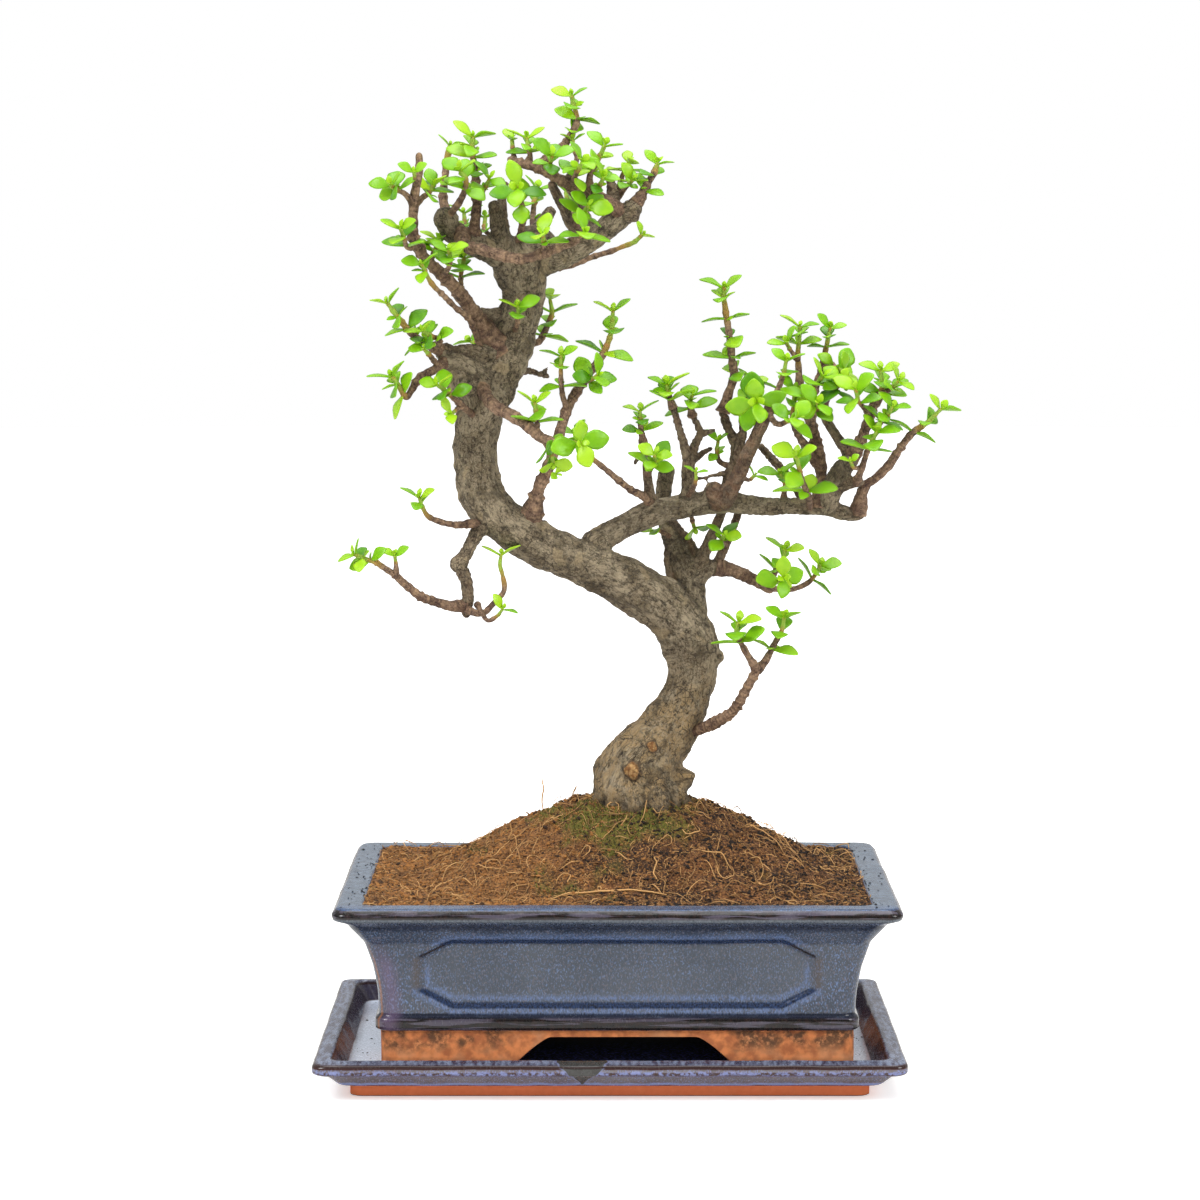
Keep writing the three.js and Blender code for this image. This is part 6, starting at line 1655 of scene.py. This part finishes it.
def make_leaf_finish():
    """Fleshy bright green: young leaves are more yellow, and the margin, the underside and the
    stalk are paler. The gloss comes and goes in clouds."""
    material, tree, shader = new_material(
        "leaf_finish", IOR=1.4, Subsurface_Weight=0.12, Subsurface_Scale=0.0012,
        Subsurface_Radius=(0.7, 1.0, 0.1),
    )
    at = object_places(tree)
    on_leaf = axes(value_of(tree, "leaf_place", "Vector"))
    clouds = grain(at, 0.18, 3.0)
    tone = waver(value_of(tree, "age"), clouds, 0.5)
    colour = blend(rise(tone, 0.05, 0.5), "9cc61c", "76b008")
    colour = blend(rise(tone, 0.5, 1.0), colour, "4c8a04")
    colour = tint(colour, patches(at, 1.2, 2.0, 0.55, 0.75), 0.12, "a9d040")
    margin = calculate("MAXIMUM", on_leaf["Y"], times(on_leaf["X"], 0.98))
    colour = tint(colour, rise(margin, 0.9, 1.0), 0.2, "bcd23c")
    colour = tint(colour, on_leaf["Z"], 0.3, "94bc3c")
    colour = tint(colour, fall(on_leaf["X"], 0.03, 0.14), 0.6, "c9a23c")
    rough = between(clouds, 0.28, 0.46)
    dress(shader, colour, grain(at, 0.5, 2.0), 0.08, rough)
    return material


def make_twig_finish():
    """Purple-brown bark, yellow to green at young tips, with pale knuckles where leaves stood."""
    material, tree, shader = new_material("twig_finish", Roughness=0.8)
    at = object_places(tree)
    colour, bumps = barked(tree, bark="5c4234", light="a5866a", dark="2c1b14")
    young = value_of(tree, "young")
    tip = blend(rise(young, 0.5, 0.95), "9a7a3a", "8fb03c")
    colour = blend(rise(young, 0.25, 0.5), colour, tip)
    knot = blend(rise(young, 0.3, 0.7), "a98a66", "a8602a")
    knuckle = times(value_of(tree, "knuckle"), patches(at, 0.45, 3.0, 0.42, 0.6))
    colour = tint(colour, knuckle, 0.7, knot)
    dress(shader, colour, bumps, 0.6)
    return material


leaf_finish = make_leaf_finish()
twig_finish = make_twig_finish()


def twig_surface(shoot, start_run):
    """A shoot's stem: its own taper, a collar where it leaves its parent, ridges round it where
    leaves stand or stood, and a rounded end. Knuckles are those ridges' pale scars."""
    one = stem_stations(shoot["points"], shoot["thick"], 0.8)
    run, share = one["run"], one["share"]
    gap = max(3.4, 0.32 * shoot["size"]) if shoot["pairs"] else 4.2
    phase = (run[-1] - run) / gap + 0.25 * noise(one["at"], 7, 41)
    off = (phase - np.round(phase)) * gap
    ridge = np.exp(-((off / 0.75) ** 2))[:, None]
    collar = 0.45 * np.exp(-((run / (1.2 * shoot["thick"][0])) ** 2))[:, None]
    bumps = 0.13 * noise(one["at"], 2.2, 42) + 0.1 * noise(one["at"], 5, 43)
    uneven = np.clip(0.55 + 0.9 * noise(one["at"], 6, 45), 0.1, 1.3)[:, None]
    sides = 9
    turn = np.linspace(0, 2 * np.pi, sides, endpoint=False)

    def straight(radius):
        """Places on the stem as if it were straight."""
        ring = [np.cos(turn) * radius, np.sin(turn) * radius, 0 * turn + run[:, None]]
        return np.stack(ring, axis=-1)

    quarter = np.round(phase)[:, None] * (np.pi / 2)
    scarred = np.abs(np.cos(turn - quarter)) ** 3 * ridge * uneven
    push = 0.1 * uneven * ridge + bumps[:, None] + 0.26 * scarred
    radius = one["radius"][:, None] * (1 + collar + push)
    radius = radius * (1 + 0.1 * noise(straight(3 + 0 * run[:, None]), 1.6, 44))
    young = np.clip(1.6 - one["radius"] / 1.25, 0, 1) * np.clip((share - 0.35) / 0.5, 0, 1)
    young = young + 0.25 * (shoot["pairs"] > 0) * np.clip((share - 0.6) / 0.4, 0, 1)
    groove = np.exp(-(((np.abs(off) - 1.1) / 0.4) ** 2))

    def over(rows):
        """Values over the stem, the rounded end's three loops included."""
        rows = np.broadcast_to(rows, scarred.shape)
        return skin_values(np.concatenate([rows, np.repeat(rows[-1:], 3, axis=0)]))

    along_stem = straight(one["radius"][:, None]) + (0, 0, start_run)
    values = {
        "young": over(np.clip(young, 0, 1)[:, None]),
        "knuckle": over(np.clip(0.4 * ridge + scarred, 0, 1)),
        "groove": over(groove[:, None]),
        "straight": np.column_stack([over(along_stem[..., axis]) for axis in range(3)]),
    }
    return skin(blunt(one, round_loops(one, radius, sides), radius, 1.2)), values


def small_leaves(shoots, rng):
    """The next pair of leaves at each tip, still folded small, a quarter turn from the last, and
    small leaves in pairs that open beside some of the older ones."""
    buds = []
    for shoot in shoots:
        if not shoot["pairs"]:
            continue
        small = {**shoot, "turn": shoot["turn"] + 90, "size": shoot["size"] * rng.uniform(0.3, 0.5)}
        for which in (0, 1):
            number = int(rng.integers(1000, 9000))
            bud = leaf_at({**small, "pairs": 1}, 0, which, number, small_givings["folded"])
            bud["root"] = bud["root"] + direction(shoot["points"], 1.0) * 0.6
            buds.append({**bud, "age": 0.1})
        for pair in range(shoot["pairs"] - 1):
            small["size"] = shoot["size"] * rng.uniform(0.3, 0.65)
            small["turn"] = shoot["turn"] + rng.uniform(50, 130)
            for which in (0, 1):
                number = int(rng.integers(1000, 9000))
                leaf = leaf_at(small, pair, which, number, small_givings["opening"])
                if rng.random() < 0.55:
                    buds.append({**leaf, "age": float(rng.uniform(0.1, 0.6))})
    return buds


limb_bends = [
    bends_through(from_photo(route), limb_spacing.get(name, limb_spacing["other"]))
    for name, (route, _) in limbs.items()
]
leaf_number = 0
for name in branches:
    rng = np.random.default_rng(sum(map(ord, name)))
    shoots = shoots_of(name)
    leaves, leaf_number = leaves_of(name, shoots, leaf_number)
    for leaf in leaves:
        leaf["age"] = float(np.clip(0.62 - 0.28 * leaf["tip"] + rng.normal(0, 0.2), 0, 1))
    surfaces, values = zip(*[twig_surface(shoot, 60.0 * k) for k, shoot in enumerate(shoots)])
    values = {key: np.concatenate([one[key] for one in values]) for key in values[0]}
    place(new_mesh(f"{name}_stem", join(surfaces), twig_finish, **values), "bark", name)
    blades, values = leaf_blades(leaves + small_leaves(shoots, rng), rng)
    place(new_mesh(f"{name}_leaves", blades, leaf_finish, **values), "leaves", name)

# The studio: a pale floor, large lamps on both sides, above and in front, and a white backdrop.
# The camera sees the room as white, and the gloss sees it dim in front and bright behind and above.
def make_floor():
    """A flat disc. It glows for the camera, more so far out, where it melts into the backdrop."""
    material, tree, shader = new_material(
        "floor_finish", Roughness=0.9, Specular_IOR_Level=0.1, Emission_Strength=1.0
    )
    at = object_places(tree)
    colour = blend(grain(at, 0.02, 3.0), "f2f1ef", "eeedea")
    tree.links.new(colour, shader.inputs["Base Color"])
    away_out = node("VectorMath", {0: at}, "Value", operation="LENGTH")
    glow = between(rise(away_out, 110.0, 420.0), 0.4, 0.9)
    glow = times(glow, node("LightPath", {}, "Is Camera Ray", tree))
    tree.links.new(blend(glow, "000000", "ffffff"), shader.inputs["Emission Color"])
    ring = circle(96)
    return new_mesh("floor", skin(np.stack([ring * 6000 - (0, 0, 5), ring * 6000, ring * 10])), material)


make_floor()


def make_lamp(name, at, size, power, mirrored=True):
    lamp = bpy.data.lights.new(name, "AREA")
    lamp.size = size
    lamp.energy = power
    made = bpy.data.objects.new(name, lamp)
    made.visible_glossy = mirrored
    made.location = at
    aim = Vector((0, 0, 0.2)) - Vector(at)
    made.rotation_euler = aim.to_track_quat("-Z", "Y").to_euler()
    bpy.context.scene.collection.objects.link(made)


make_lamp("lamp_left", (-1.3, -1.1, 1.5), 0.8, 29)
make_lamp("lamp_right", (1.5, -1.0, 1.2), 0.8, 19)
make_lamp("lamp_above", (0.1, 0.1, 2.0), 1.4, 26)
make_lamp("lamp_front", (0.0, -2.2, 0.8), 1.6, 9, mirrored=False)


def make_room():
    """Light from every side, by its direction: dim ahead, bright behind and above, and white to
    the camera."""
    room = bpy.data.worlds.new("studio")
    room.use_nodes = True
    tree = room.node_tree
    shader = tree.nodes["Background"]
    shader.inputs["Color"].default_value = (1, 1, 1, 1)
    towards = axes(node("TexCoord", {}, "Generated", tree))
    behind = calculate("ADD", times(towards["Y"], 1.5), 0.25)
    share = calculate("MAXIMUM", times(towards["Z"], 1.4), behind)
    seen = node("LightPath", {}, "Is Camera Ray", tree)
    strength = node("Mix", {0: seen, 2: between(share, 0.08, 0.6), 3: 1.0})
    tree.links.new(strength, shader.inputs["Strength"])
    return room


bpy.context.scene.world = make_room()
bpy.context.scene.view_settings.view_transform = "Standard"
